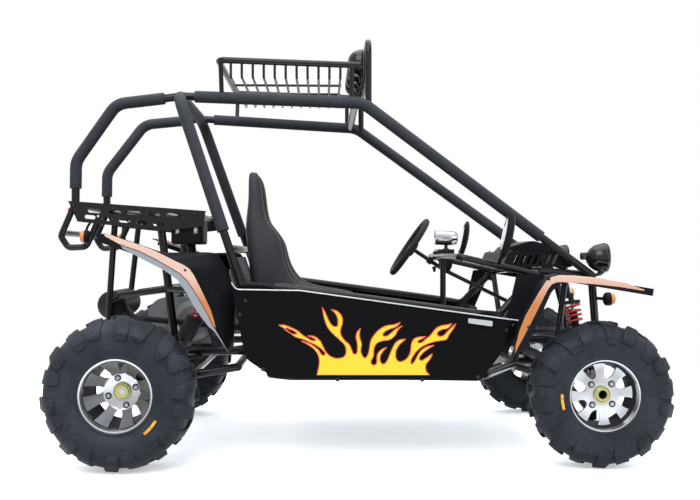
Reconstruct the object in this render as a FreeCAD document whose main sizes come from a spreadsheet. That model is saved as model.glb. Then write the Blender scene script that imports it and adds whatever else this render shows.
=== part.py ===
"""Two-seat off-road buggy: tube frame and cage, body panels, seats, running gear, steering and lamps."""
import FreeCAD
import Part
import Sketcher
import math
import os
from FreeCAD import Placement, Rotation, Vector

os.makedirs("parts", exist_ok=True)
doc = FreeCAD.newDocument("Buggy")
sheet = doc.addObject("Spreadsheet::Sheet", "Sizes")


class Dim:
    """A size with its value and the expression that ties a feature to the sheet."""

    def __init__(self, value, text):
        self.value = float(value)
        self.text = text

    def __float__(self):
        return self.value

    def __add__(self, other):
        return Dim(self.value + float(other), "(%s + %s)" % (self.text, written(other)))

    def __radd__(self, other):
        return Dim(float(other) + self.value, "(%s + %s)" % (written(other), self.text))

    def __sub__(self, other):
        return Dim(self.value - float(other), "(%s - %s)" % (self.text, written(other)))

    def __rsub__(self, other):
        return Dim(float(other) - self.value, "(%s - %s)" % (written(other), self.text))

    def __mul__(self, other):
        return Dim(self.value * float(other), "(%s * %s)" % (self.text, written(other)))

    def __rmul__(self, other):
        return Dim(float(other) * self.value, "(%s * %s)" % (written(other), self.text))

    def __truediv__(self, other):
        return Dim(self.value / float(other), "(%s / %s)" % (self.text, written(other)))

    def __neg__(self):
        return Dim(-self.value, "(0 - %s)" % self.text)


def written(value):
    """The text of a size or a plain number inside an expression."""
    return value.text if isinstance(value, Dim) else repr(float(value))


sheet_rows = 0


def size(alias, value):
    """Enter one driving dimension, in millimetres or degrees, in the sheet."""
    global sheet_rows
    sheet_rows += 1
    sheet.set("A%d" % sheet_rows, alias)
    sheet.set("B%d" % sheet_rows, str(value))
    sheet.setAlias("B%d" % sheet_rows, alias)
    return Dim(value, "Sizes." + alias)


# Running gear
wheelbase = size("wheelbase", 1750)
front_axle_x = size("front_axle_x", 905)
rear_half_track = size("rear_half_track", 590)
front_half_track = size("front_half_track", 597)
rear_tyre_radius = size("rear_tyre_radius", 279)
rear_tyre_width = size("rear_tyre_width", 254)
front_tyre_radius = size("front_tyre_radius", 268)
front_tyre_width = size("front_tyre_width", 178)
rim_seat_radius = size("rim_seat_radius", 127)
rim_flange_height = size("rim_flange_height", 13)
rim_wall = size("rim_wall", 5)
rear_rim_half = size("rear_rim_half", 100)
front_rim_half = size("front_rim_half", 70)
tread_depth = size("tread_depth", 14)
block_half = size("block_half", 29)
TREAD_BLOCKS = 18
RIM_FLATS = 20
fit_gap = size("fit_gap", 0.3)
running_gap = size("running_gap", 0.1)
rear_axle_x = front_axle_x - wheelbase

# Tubes
cage_tube = size("cage_tube", 16)
pad_radius = size("pad_radius", 23.5)
rail_tube = size("rail_tube", 16)
brace_tube = size("brace_tube", 12.5)
rod_radius = size("rod_radius", 5)
cage_bend = size("cage_bend", 110)

# Cage
hoop_top_x = size("hoop_top_x", -678)
hoop_top_z = size("hoop_top_z", 1404)
hoop_half_top = size("hoop_half_top", 315)
hoop_foot_x = size("hoop_foot_x", -307)
hoop_half_foot = size("hoop_half_foot", 509)
floor_rail_z = size("floor_rail_z", 332)
roof_bend_x = size("roof_bend_x", 44)
roof_bend_z = size("roof_bend_z", 1370)
roof_half_front = size("roof_half_front", 367)
nose_x = size("nose_x", 963)
nose_z = size("nose_z", 696)
nose_half = size("nose_half", 300)

# Body
panel_y = size("panel_y", 597)
panel_thickness = size("panel_thickness", 5)
sheet_thickness = size("sheet_thickness", 3)
moulding = size("moulding", 4)
side_rail_y = panel_y - panel_thickness - rail_tube - fit_gap
fender_width = size("fender_width", 187)
fender_y = size("fender_y", 503)
rear_fender_y = size("rear_fender_y", 430)
seat_y = size("seat_y", 238)
seat_width = size("seat_width", 400)
bolster = size("bolster", 85)
nose_cover_half = size("nose_cover_half", 270)

# Steering
kingpin_y = size("kingpin_y", 500)
ball_reach = size("ball_reach", 75)
steer_arm = size("steer_arm", 90)
tie_rod_z = size("tie_rod_z", 342)
column_y = size("column_y", 235)
wheel_ring = size("wheel_ring", 138)
wheel_grip = size("wheel_grip", 14)

# Rear carrier
carrier_half = size("carrier_half", 300)
stay_inset = size("stay_inset", 35)
carrier_rear_x = size("carrier_rear_x", -1097)

# Rear arm and axle
axle_radius = size("axle_radius", 15)
bearing_radius = size("bearing_radius", 42)
arm_y = size("arm_y", 395)
arm_pivot_x = size("arm_pivot_x", -440)
arm_pivot_z = size("arm_pivot_z", 345)
shaft_radius = size("shaft_radius", 9)
hub_x = size("hub_x", 283)
hub_z = size("hub_z", 813)
column_tilt = size("column_tilt", 33.7)

doc.recompute()


def vec(x, y, z):
    """A point from sizes and numbers."""
    return Vector(float(x), float(y), float(z))


def bind(thing, name, value):
    """Set a property and tie it to the sheet where the value is a size."""
    setattr(thing, name, float(value))
    if isinstance(value, Dim):
        thing.setExpression(name, value.text)


def new_body(label, place=None):
    """A body with its own label."""
    body = doc.addObject("PartDesign::Body", label)
    body.Label = label
    if place is not None:
        body.Placement = place
    return body


def new_sketch(body, name, role, offset=0):
    """A sketch on one of the body's own planes, raised by an offset."""
    sketch = body.newObject("Sketcher::SketchObject", name)
    plane = [item for item in body.Origin.OriginFeatures if item.Role == role][0]
    sketch.AttachmentSupport = [(plane, "")]
    sketch.MapMode = "FlatFace"
    sketch.AttachmentOffset = Placement(vec(0, 0, offset), Rotation())
    if isinstance(offset, Dim):
        sketch.setExpression("AttachmentOffset.Base.z", offset.text)
    return sketch


def fix(sketch, kind, *terms):
    """Add a dimension and tie it to the sheet where it is a size."""
    value = terms[-1]
    index = sketch.addConstraint(Sketcher.Constraint(kind, *terms[:-1], float(value)))
    if isinstance(value, Dim):
        sketch.setExpression("Constraints[%d]" % index, value.text)


def pin(sketch, geometry, point, x, y):
    """Hold a sketch point at its place from the sketch origin."""
    fix(sketch, "DistanceX", -1, 1, geometry, point, x)
    fix(sketch, "DistanceY", -1, 1, geometry, point, y)


def corner_arc(before, corner, after, radius):
    """Where an arc of this radius leaves and meets the two sides of a corner, and its middle."""
    back = (before - corner).normalize()
    ahead = (after - corner).normalize()
    half = back.getAngle(ahead) / 2
    reach = radius / math.tan(half)
    inward = (back + ahead).normalize()
    middle = corner + inward * (radius / math.sin(half) - radius)
    return corner + back * reach, middle, corner + ahead * reach


def outline(sketch, corners):
    """A closed outline through corners (x, y) or (x, y, radius), fully constrained."""
    count = len(corners)
    spots = [vec(item[0], item[1], 0) for item in corners]
    radii = [float(item[2]) if len(item) > 2 else 0.0 for item in corners]
    starts = []
    ends = []
    arcs = []
    for index in range(count):
        if radii[index] > 0:
            near, middle, far = corner_arc(spots[index - 1], spots[index],
                                           spots[(index + 1) % count], radii[index])
            ends.append(near)
            starts.append(far)
            leftward = (near - spots[index]).cross(far - spots[index]).z < 0
            arcs.append(Part.Arc(near, middle, far) if leftward else Part.Arc(far, middle, near))
        else:
            ends.append(spots[index])
            starts.append(spots[index])
            arcs.append(None)
    lines = []
    for index in range(count):
        following = (index + 1) % count
        lines.append(sketch.addGeometry(Part.LineSegment(starts[index], ends[following]), False))
    for index in range(count):
        line_in = lines[index - 1]
        line_out = lines[index]
        x, y = corners[index][0], corners[index][1]
        if arcs[index] is None:
            sketch.addConstraint(Sketcher.Constraint("Coincident", line_in, 2, line_out, 1))
            pin(sketch, line_out, 1, x, y)
            continue
        arc = sketch.addGeometry(arcs[index], False)
        geometry = sketch.Geometry[arc]
        first, last = (1, 2)
        if geometry.StartPoint.distanceToPoint(ends[index]) > geometry.EndPoint.distanceToPoint(ends[index]):
            first, last = (2, 1)
        sketch.addConstraint(Sketcher.Constraint("Tangent", line_in, 2, arc, first))
        sketch.addConstraint(Sketcher.Constraint("Tangent", line_out, 1, arc, last))
        mark = sketch.addGeometry(Part.Point(spots[index]), True)
        pin(sketch, mark, 1, x, y)
        sketch.addConstraint(Sketcher.Constraint("PointOnObject", mark, 1, line_in))
        sketch.addConstraint(Sketcher.Constraint("PointOnObject", mark, 1, line_out))
        fix(sketch, "Radius", arc, corners[index][2])


def ring(sketch, x, y, radius):
    """A circle with its centre and radius held."""
    circle = sketch.addGeometry(Part.Circle(vec(x, y, 0), Vector(0, 0, 1), float(radius)), False)
    pin(sketch, circle, 3, x, y)
    fix(sketch, "Radius", circle, radius)


def pad(body, sketch, length, both=False, back=False):
    """A pad of a sketch: one way, the other way, or half to each side."""
    feature = body.newObject("PartDesign::Pad", sketch.Name + "Pad")
    feature.Profile = sketch
    bind(feature, "Length", length)
    if both:
        feature.SideType = "Symmetric"
    feature.Reversed = back
    return feature


def pocket_through(body, sketch):
    """A cut of a sketch right through the body, to both sides."""
    feature = body.newObject("PartDesign::Pocket", sketch.Name + "Pocket")
    feature.Profile = sketch
    feature.Type = "ThroughAll"
    feature.SideType = "Symmetric"
    return feature


def pocket(body, sketch, length):
    """A cut of a sketch, half its length to each side."""
    feature = body.newObject("PartDesign::Pocket", sketch.Name + "Pocket")
    feature.Profile = sketch
    feature.SideType = "Symmetric"
    bind(feature, "Length", length)
    return feature


def revolve(body, sketch):
    """A full turn of a sketch about its own upright axis."""
    feature = body.newObject("PartDesign::Revolution", sketch.Name + "Turn")
    feature.Profile = sketch
    feature.ReferenceAxis = (sketch, ["V_Axis"])
    feature.Angle = 360
    return feature


def polar(body, feature, role, count):
    """Copies of a feature about one of the body's own axes."""
    pattern = body.newObject("PartDesign::PolarPattern", feature.Name + "Ring")
    axis = [item for item in body.Origin.OriginFeatures if item.Role == role][0]
    pattern.Originals = [feature]
    pattern.Axis = (axis, [""])
    pattern.Angle = 360
    pattern.Occurrences = count
    body.Tip = pattern
    return pattern


def solid_part(label, shape, place=None):
    """A sub-part whose shape is made of welded or fused pieces."""
    feature = doc.addObject("Part::Feature", label)
    feature.Label = label
    feature.Shape = shape
    if place is not None:
        feature.Placement = place
    return feature


def tube_path(points, bend):
    """Straight runs joined by tangent arcs. A bend is one radius or a list, one for each inner point."""
    count = len(points)
    bends = bend if isinstance(bend, list) else [bend] * (count - 2)
    edges = []
    start = points[0]
    for index in range(1, count - 1):
        near, middle, far = corner_arc(points[index - 1], points[index], points[index + 1],
                                       float(bends[index - 1]))
        if start.distanceToPoint(near) > 0.01:
            edges.append(Part.LineSegment(start, near).toShape())
        edges.append(Part.Arc(near, middle, far).toShape())
        start = far
    edges.append(Part.LineSegment(start, points[-1]).toShape())
    return Part.Wire(edges)


def tube(points, radius, bend=60):
    """A round bar bent along a path."""
    heading = (points[1] - points[0]).normalize()
    circle = Part.Wire(Part.makeCircle(float(radius), points[0], heading))
    return tube_path(points, bend).makePipe(Part.Face(circle))


def bar(start, end, radius):
    """A straight round bar between two points."""
    along = end - start
    return Part.makeCylinder(float(radius), along.Length, start, along)


def turned(profile, start, heading):
    """A solid of revolution from (distance along, radius) pairs, set at a point along a heading."""
    points = [Vector(0, 0, profile[0][0])] + [Vector(radius, 0, along) for along, radius in profile]
    points.append(Vector(0, 0, profile[-1][0]))
    wire = Part.makePolygon(points + [points[0]])
    shape = Part.Face(wire).revolve(Vector(0, 0, 0), Vector(0, 0, 1), 360)
    shape.Placement = Placement(start, Rotation(Vector(0, 0, 1), heading))
    return shape


def faceted(rings):
    """A solid of flat faces that join rings of equal point counts, closed by the first and the last ring."""
    faces = [Part.Face(Part.makePolygon(points + [points[0]])) for points in (rings[0], rings[-1])]
    for near, far in zip(rings, rings[1:]):
        for index in range(len(near)):
            corners = [near[index - 1], near[index], far[index], far[index - 1], near[index - 1]]
            faces.append(Part.Face(Part.makePolygon(corners)))
    solid = Part.Solid(Part.makeShell(faces))
    return solid if solid.Volume > 0 else solid.reversed()


def prism(radius, low, high, count):
    """A many-sided bar about the Y axis whose flats lie at one radius."""
    corner = float(radius) / math.cos(math.pi / count)
    rings = []
    for offset in (float(low), float(high)):
        rings.append([Vector(corner * math.sin(2 * math.pi * step / count), offset,
                             corner * math.cos(2 * math.pi * step / count)) for step in range(count)])
    return faceted(rings)


def block(low, high):
    """A box between its lowest and highest corners."""
    return Part.makeBox(high.x - low.x, high.y - low.y, high.z - low.z, low)


def slab(centre, length, width, height):
    """A box about its centre."""
    reach = Vector(float(length) / 2, float(width) / 2, float(height) / 2)
    return block(centre - reach, centre + reach)


def fuse(shapes):
    """One solid from touching shapes, with its seams cleaned."""
    whole = shapes[0].multiFuse(shapes[1:]) if len(shapes) > 1 else shapes[0]
    return whole.removeSplitter()


def coped(shape, neighbours):
    """A tube end cut to sit on its neighbours: the largest piece that is left."""
    rest = shape.cut(neighbours) if isinstance(neighbours, list) else shape.cut(neighbours)
    return max(rest.Solids, key=lambda solid: solid.Volume)


def mirrored(shape):
    """The same shape on the other side of the buggy."""
    return shape.mirror(Vector(0, 0, 0), Vector(0, 1, 0))


def both_sides(shapes):
    """Shapes given for the left side, and their twins on the right."""
    return shapes + [mirrored(shape) for shape in shapes]


SIDES = (("left", 1), ("right", -1))
rear_wheel_z = rear_tyre_radius
front_wheel_z = front_tyre_radius


def column_spot(distance):
    """A point on the upper steering shaft, some distance below the wheel's hub."""
    tilt = math.radians(float(column_tilt))
    return vec(hub_x + distance * math.cos(tilt), column_y, hub_z - distance * math.sin(tilt))


# The hoop's legs lean, so a place on a leg is found from its height
def hoop_leg(z):
    """The centre of the left leg of the main hoop at one height."""
    share = (float(z) - float(floor_rail_z)) / (float(hoop_top_z) - float(floor_rail_z))
    x = float(hoop_foot_x) + share * (float(hoop_top_x) - float(hoop_foot_x))
    y = float(hoop_half_foot) + share * (float(hoop_half_top) + 45 - float(hoop_half_foot))
    return Vector(x, y, float(z))


# Main hoop
hoop_joint_z = size("hoop_joint_z", 700)
rack_half = size("rack_half", 370)
rack_rear_x = size("rack_rear_x", -519)
rack_rear_z = size("rack_rear_z", 1535)
rack_front_z = size("rack_front_z", 1517)
rack_floor_z = size("rack_floor_z", 1468)
guard_half = size("guard_half", 352)
belt_bar_z = size("belt_bar_z", 800)
doc.recompute()


def hoop_tube(radius, low_z):
    """The bent tube of the hoop, down to one height."""
    foot = hoop_leg(low_z)
    shoulder = hoop_leg(hoop_top_z)
    points = [foot, shoulder, Vector(shoulder.x, -shoulder.y, shoulder.z), Vector(foot.x, -foot.y, foot.z)]
    return tube(points, radius, float(cage_bend))


def make_main_hoop():
    """The bent tube behind the seats with its belt bar, set on the frame's leg stubs."""
    end = hoop_leg(belt_bar_z)
    belt_bar = bar(Vector(end.x, -end.y, end.z), end, rail_tube)
    return solid_part("main_hoop", fuse([hoop_tube(cage_tube, hoop_joint_z), belt_bar]))


# Chassis
front_half = size("front_half", 200)
front_low_z = size("front_low_z", 295)
front_up_z = size("front_up_z", 430)
front_end_x = size("front_end_x", 1010)
side_top_rear_z = size("side_top_rear_z", 658)
side_top_front_z = size("side_top_front_z", 545)
door_front_x = size("door_front_x", 480)
cradle_z = size("cradle_z", 392)
cradle_half = size("cradle_half", 250)
carrier_low_z = size("carrier_low_z", 876)
doc.recompute()


tow_hole = size("tow_hole", 8)
carrier_hole = size("carrier_hole", 4.5)
shoulder_spot = (705, 445, 702)


def shoulder_tube(radius):
    """The left tube from the side rail's front end, up and in to the nose tube."""
    return tube([hoop_leg(side_top_rear_z), vec(hoop_foot_x + 20, side_rail_y, side_top_rear_z + 2),
                 vec(door_front_x - 20, side_rail_y, side_top_front_z + 14), vec(556, 464, side_top_front_z),
                 vec(*shoulder_spot), vec(745, nose_half - 30, 712), vec(nose_x, nose_half - 50, nose_z)],
                radius, [50, 60, 40, 50, 20])


def nose_cross(radius):
    """The tube across the nose that the roof rails end on."""
    end = nose_half + cage_tube
    return bar(vec(nose_x, -end, nose_z), vec(nose_x, end, nose_z), radius)


def brackets(x, z, inner_y):
    """A short stud from the frame out to the post panel."""
    return bar(vec(x, inner_y, z), vec(x, fender_y - sheet_thickness - 2 * fit_gap, z), 8)


def side_tubes(grow):
    """The left side of the frame: the hoop's foot, the rail that becomes the shoulder tube, the door brace."""
    return [bar(hoop_leg(floor_rail_z), hoop_leg(hoop_joint_z), cage_tube + grow),
            shoulder_tube(rail_tube + grow),
            bar(vec(door_front_x, side_rail_y - 10, floor_rail_z), vec(556, 464, side_top_front_z),
                brace_tube + grow)]


def floor_tubes(grow):
    """The floor ladder: two long rails that run on under the nose, and the tubes across them."""
    rail, brace = rail_tube + grow, brace_tube + grow
    foot = hoop_leg(floor_rail_z)
    low = float(floor_rail_z)
    side = tube([foot, vec(hoop_foot_x + 80, side_rail_y, floor_rail_z), vec(door_front_x, side_rail_y, floor_rail_z),
                 vec(650, 250, floor_rail_z), vec(760, front_half, front_low_z),
                 vec(front_end_x, front_half, front_low_z)], rail, [60, 60, 60, 60])
    across = [bar(vec(foot.x, -foot.y, low), vec(foot.x, foot.y, low), rail),
              bar(vec(180, -float(side_rail_y), low), vec(180, float(side_rail_y), low), brace),
              bar(vec(650, -250, low), vec(650, 250, low), rail)]
    for x in (front_end_x, 840):
        across.append(bar(vec(x, -front_half, front_low_z), vec(x, front_half, front_low_z), brace))
    return both_sides([side]) + across


def nose_tubes(grow):
    """The front box above the floor rails, its strut mounts and the tube across the nose."""
    rail, brace = rail_tube + grow, brace_tube + grow
    up_y = front_half + 5
    left = [tube([vec(650, 250, floor_rail_z), vec(700, up_y, front_up_z), vec(front_end_x, up_y, front_up_z)], rail, 40),
            tube([vec(nose_x, nose_half, nose_z), vec(front_end_x, up_y, front_up_z),
                  vec(front_end_x, front_half, front_low_z)], rail, 30),
            bar(vec(850, up_y, front_up_z), vec(852, 322, 690), brace),
            bar(vec(852, 300, 690), vec(852, 338 - fit_gap, 690), 9 + grow),
            bar(vec(700, up_y, front_up_z), vec(*shoulder_spot), brace), brackets(692, 661, 405)]
    return both_sides(left) + [bar(vec(front_end_x, -up_y, front_up_z), vec(front_end_x, up_y, front_up_z), brace),
                               nose_cross(brace)]


def cradle_tubes():
    """The engine cradle, the posts under the carrier, the rear guard and the tow lug."""
    post_y = carrier_half - 5 - rail_tube - fit_gap
    left = [tube([vec(-320, cradle_half, floor_rail_z), vec(-420, cradle_half, cradle_z),
                  vec(-700, cradle_half, cradle_z), vec(-760, post_y, carrier_low_z + 48)], rail_tube, [40, 60]),
            tube([hoop_leg(640), vec(-560, 405, 640), vec(-728, post_y - 12, 640)], brace_tube, 40),
            tube([vec(-728, post_y - 12, 640), vec(-935, 200, 612), vec(-979, 200, 590), vec(-979, 200, 500)],
                 brace_tube, [40, 20]),
            bar(vec(-979, 200, 560), vec(-945, 240, 934), brace_tube),
            slab(vec(-362, 300, arm_pivot_z - 4), 123, 10, 36),
            bar(vec(-560, 405, 640), vec(-560, rear_fender_y - fit_gap, 640), brace_tube)]
    across = [bar(vec(-979, -200, 500), vec(-979, 200, 500), brace_tube)]
    for x in (-540, -690):
        z = cradle_z + rail_tube - brace_tube
        across.append(bar(vec(x, -cradle_half, z), vec(x, cradle_half, z), brace_tube))
    tow_lug = slab(vec(-1010, 0, 500), 60, 60, 8)
    across.append(tow_lug.cut(bar(vec(-1016, 0, 480), vec(-1016, 0, 520), tow_hole)))
    return both_sides(left) + across


def make_frame():
    """The frame as it is welded up: two sides, the floor ladder, the nose box and the engine cradle."""
    left = fuse(side_tubes(0) + [bar(vec(556, 464, side_top_front_z), vec(600, 478, 530), 8),
                                 brackets(600, 530, 472)])
    around_sides = side_tubes(float(fit_gap))
    around_sides += [mirrored(shape) for shape in around_sides]
    around_floor = floor_tubes(float(fit_gap))
    solid_part("side_frame_left", left)
    solid_part("side_frame_right", mirrored(left))
    solid_part("floor_frame", coped(fuse(floor_tubes(0)), around_sides))
    solid_part("nose_frame", coped(fuse(nose_tubes(0)), around_sides + around_floor))
    solid_part("engine_cradle", coped(fuse(cradle_tubes()), around_sides + around_floor))


def make_floor():
    """The floor sheet under the seats and feet, folded up at the front."""
    body = new_body("floor_pan")
    top = floor_rail_z + rail_tube + sheet_thickness
    plate = new_sketch(body, "FloorOutline", "XY_Plane", top - sheet_thickness + fit_gap)
    half = side_rail_y - 12
    outline(plate, [(hoop_foot_x + 30, -half + 40, 20), (hoop_foot_x + 90, -half, 20), (door_front_x - 30, -half, 20),
                    (628, -262, 20), (628, 262, 20),
                    (door_front_x - 30, half, 20), (hoop_foot_x + 90, half, 20), (hoop_foot_x + 30, half - 40, 20)])
    pad(body, plate, sheet_thickness)
    return body


# Cage
def roof_rail_tube(side, radius):
    """One roof rail: from the hoop over the roof and down to the nose tube."""
    points = [vec(hoop_top_x, side * (hoop_half_top - 8), hoop_top_z),
              vec(roof_bend_x, side * roof_half_front, roof_bend_z),
              vec(nose_x, side * nose_half, nose_z)]
    return tube(points, radius, float(cage_bend))


def make_roof_rail(name, side):
    """A roof rail, coped to the hoop and to the nose tube."""
    ends = [hoop_tube(cage_tube + fit_gap, hoop_joint_z), nose_cross(brace_tube + fit_gap),
            bar(vec(nose_x, side * nose_half, nose_z), vec(front_end_x, side * (front_half + 5), front_up_z),
                rail_tube + fit_gap)]
    return solid_part(name, coped(roof_rail_tube(side, cage_tube), ends))


def rear_stay_tube(side, radius):
    """One rear stay: from the hoop, level and then down behind the seats."""
    foot = side * (carrier_half - stay_inset)
    points = [vec(hoop_top_x, side * (hoop_half_top - 8), hoop_top_z - 2),
              vec(-929, side * (carrier_half - 10), hoop_top_z - 30), vec(-1095, foot, 1148),
              vec(carrier_rear_x, foot, 975)]
    return tube(points, radius, [90, 80])


def make_rear_stay(name, side):
    """A rear stay from the hoop, back and down to the carrier's rear tube."""
    ends = [hoop_tube(cage_tube + fit_gap, hoop_joint_z),
            bar(vec(carrier_rear_x, -carrier_half, 975), vec(carrier_rear_x, carrier_half, 975), brace_tube + fit_gap)]
    return solid_part(name, coped(rear_stay_tube(side, cage_tube), ends))


def crossbar_tube(radius):
    """The bar between the roof rails, just behind their front bend."""
    back = 30
    slope = (float(hoop_top_z) - float(roof_bend_z)) / (float(roof_bend_x) - float(hoop_top_x))
    x = float(roof_bend_x) - back
    z = float(roof_bend_z) + back * slope
    return bar(vec(x, -roof_half_front, z), vec(x, roof_half_front, z), radius)


def make_cage_crossbar():
    """The crossbar, coped to both roof rails."""
    rails = [roof_rail_tube(side, cage_tube + fit_gap) for word, side in SIDES]
    return solid_part("cage_crossbar", coped(crossbar_tube(rail_tube), rails))


def sleeve(whole, core, low, high, neighbours):
    """A foam sleeve: the thick tube less its core, kept where it lies between two boxes' faces."""
    foam = whole.cut([core] + neighbours)
    return max(foam.common(block(low, high)).Solids, key=lambda solid: solid.Volume)


def make_cage_pads():
    """The foam sleeves on the cage tubes near the heads, cut open where other tubes meet them."""
    far = 2000
    core = cage_tube + fit_gap
    hoop = hoop_tube(pad_radius, hoop_joint_z)
    hoop_foam = sleeve(hoop, hoop_tube(core, hoop_joint_z - 20), Vector(-far, -far, 869), Vector(far, far, far),
                       [roof_rail_tube(side, core) for word, side in SIDES]
                       + [rear_stay_tube(side, core) for word, side in SIDES])
    near_hoop = hoop_tube(pad_radius + 14, hoop_joint_z)
    uprights = rack_uprights(float(fit_gap)) + [guard_loop(brace_tube + fit_gap), crossbar_tube(rail_tube + fit_gap)]
    rail_foam = sleeve(roof_rail_tube(1, pad_radius), roof_rail_tube(1, core), Vector(-far, -far, -far),
                       Vector(757, far, far), [near_hoop] + uprights)
    stay_foam = sleeve(rear_stay_tube(1, pad_radius), rear_stay_tube(1, core), Vector(-far, -far, 1040),
                       Vector(far, far, far), [near_hoop])
    return solid_part("cage_pads", Part.Compound([hoop_foam] + both_sides([rail_foam, stay_foam])))


# Body panels
def make_side_panel(name, side):
    """The door-side panel below the open cockpit, hung on the side rails."""
    body = new_body(name, Placement(vec(0, side * panel_y, 0), Rotation()))
    sketch = new_sketch(body, "PanelOutline", "XZ_Plane")
    outline(sketch, [(-447, 671, 5), (-428, 649, 10), (-197, 645), (604, 534, 8), (593, 483, 60),
                     (463, 314, 25), (-290, 327, 70), (-395, 400, 60)])
    pad(body, sketch, panel_thickness, back=(side < 0))
    return body


def strip(points, thickness):
    """The outline of a bent sheet: its outer line, and the same line one thickness inwards."""
    spots = [vec(x, z, 0) for x, z in points]
    inner = []
    count = len(spots)
    for index, spot in enumerate(spots):
        before = (spot - spots[index - 1]).normalize() if index > 0 else None
        after = (spots[index + 1] - spot).normalize() if index < count - 1 else None
        if before is None:
            before = after
        if after is None:
            after = before
        normal_in = Vector(-before.y, before.x, 0)
        normal_out = Vector(-after.y, after.x, 0)
        bisector = (normal_in + normal_out).normalize()
        inner.append(spot + bisector * (float(thickness) / bisector.dot(normal_in)))
    return [(spot.x, spot.y) for spot in spots], [(spot.x, spot.y) for spot in inner]


def fender_body(name, side, points, radii, low_y, width, drop):
    """A bent fender sheet with a skirt along its outer edge."""
    body = new_body(name)
    outer, inner = strip(points, moulding)
    corners = [(x, z, r) if r else (x, z) for (x, z), r in zip(outer, radii)]
    corners += [(x, z, r - float(moulding)) if r else (x, z) for (x, z), r in reversed(list(zip(inner, radii)))]
    sheet_sketch = new_sketch(body, "FenderSheet", "XZ_Plane", -side * low_y)
    outline(sheet_sketch, corners)
    pad(body, sheet_sketch, width, back=(side > 0))
    deep, _ = strip(points, moulding)
    _, skirt = strip(points, drop)
    skirt_corners = [(x, z, r) if r else (x, z) for (x, z), r in zip(deep, radii)]
    skirt_corners += [(x, z, max(r - drop, 8)) if r else (x, z) for (x, z), r in reversed(list(zip(skirt, radii)))]
    skirt_sketch = new_sketch(body, "FenderSkirt", "XZ_Plane", -side * (low_y + width - moulding))
    outline(skirt_sketch, skirt_corners)
    pad(body, skirt_sketch, moulding, back=(side > 0))
    return body


def make_front_fender(name, side):
    """The front fender: a long beak over the tyre, bent down to the door."""
    points = [(1074, 655), (743, 710), (684, 664), (584, 442)]
    return fender_body(name, side, points, [0, 55, 90, 0], fender_y, fender_width, 26)


def make_rear_fender(name, side):
    """The rear fender: from beside the carrier, over the tyre's front, down to the frame."""
    points = [(-479, 446), (-500, 515), (-625, 752), (-921, 855)]
    return fender_body(name, side, points, [0, 60, 90, 0], rear_fender_y, fender_width, 30)


def make_front_post(name, side):
    """The upright mudguard panel between the side panel and the front fender."""
    body = new_body(name, Placement(vec(0, side * (fender_y - sheet_thickness / 2 - fit_gap), 0), Rotation()))
    sketch = new_sketch(body, "PostOutline", "XZ_Plane")
    outline(sketch, [(555, 432, 8), (618, 703, 10), (742, 706, 10), (672, 640, 60), (590, 432, 8)])
    pad(body, sketch, sheet_thickness, both=True)
    return body


def make_nose_cover():
    """The moulded cover over the feet: a thin shell, open below, with a raised wing and slotted side grilles."""
    body = new_body("nose_cover")
    width = 2 * nose_cover_half
    side = new_sketch(body, "NoseSide", "XZ_Plane")
    outline(side, [(610, 727.6, 10), (635, 790, 15), (860, 790, 20), (905, 727.6, 10)])
    pad(body, side, width, both=True)
    wing = new_sketch(body, "NoseWing", "XZ_Plane")
    outline(wing, [(640, 780), (670, 811, 10), (762, 837, 60), (862, 811, 10), (875, 762)])
    pad(body, wing, nose_cover_half, both=True)
    hollow = new_sketch(body, "NoseHollow", "XZ_Plane")
    outline(hollow, [(614, 722), (638, 786, 11), (857, 786, 16), (901, 722)])
    pocket(body, hollow, width - 2 * moulding)
    for index in range(7):
        slot = new_sketch(body, "GrilleSlot%d" % index, "XZ_Plane")
        x = 652 + index * 26
        outline(slot, [(x, 738, 3), (x + 18, 778, 3), (x + 30, 778, 3), (x + 12, 738, 3)])
        pocket_through(body, slot)
    return body


# Cockpit
def make_seat(name, side):
    """A bucket seat: a hollowed cushion and back between two thick side bolsters."""
    body = new_body(name, Placement(vec(0, side * seat_y, 0), Rotation()))
    middle = new_sketch(body, "SeatMiddle", "XZ_Plane")
    outline(middle, [(-388, 460, 30), (-432, 1068, 20), (-412, 1112, 14), (-386, 1106, 12), (-342, 860, 80),
                     (-272, 594, 60), (40, 574, 34), (58, 460, 24)])
    pad(body, middle, seat_width, both=True)
    half = seat_width / 2
    for word, offset, back in (("Left", bolster - half, True), ("Right", half - bolster, False)):
        raised = new_sketch(body, "Bolster" + word, "XZ_Plane", offset)
        outline(raised, [(-380, 470, 20), (-424, 1050, 12), (-352, 1048, 12), (-271, 830, 70), (-215, 640, 50),
                         (30, 606, 30), (48, 480, 20)])
        pad(body, raised, bolster, back=back)
    return body


dash_x = size("dash_x", 405)
dash_z = size("dash_z", 770)
doc.recompute()


def make_dash():
    """The instrument bar with its side bars, centre post, control box and column bearing."""
    shapes = []
    shapes.append(bar(vec(dash_x, 0, floor_rail_z + rail_tube + sheet_thickness + 2 * fit_gap),
                      vec(dash_x, 0, dash_z), brace_tube))
    side_bar = tube([vec(dash_x, 0, dash_z), vec(dash_x, 490, dash_z), vec(*shoulder_spot)], brace_tube, 30)
    side_bar = coped(side_bar, [shoulder_tube(rail_tube + fit_gap)])
    shapes += [side_bar, mirrored(side_bar)]
    shapes.append(block(vec(dash_x, 175, 750), vec(480, 300, 802)))
    spot = column_spot(112)
    shapes.append(bar(column_spot(100), column_spot(124), 16))
    shapes.append(bar(spot, vec(dash_x, column_y, dash_z), 8))
    whole = fuse(shapes)
    shaft = bar(column_spot(-20), column_spot(200), shaft_radius + running_gap)
    return solid_part("dash_bar", whole.cut(shaft))


def make_speedometer():
    """The chromed round gauge on its foot."""
    gauge = bar(vec(398, 235, 856), vec(508, 235, 852), 33)
    foot = bar(vec(450, 235, 802 + fit_gap), vec(450, 235, 830), 8)
    return solid_part("speedometer", fuse([gauge, foot]))


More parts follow.
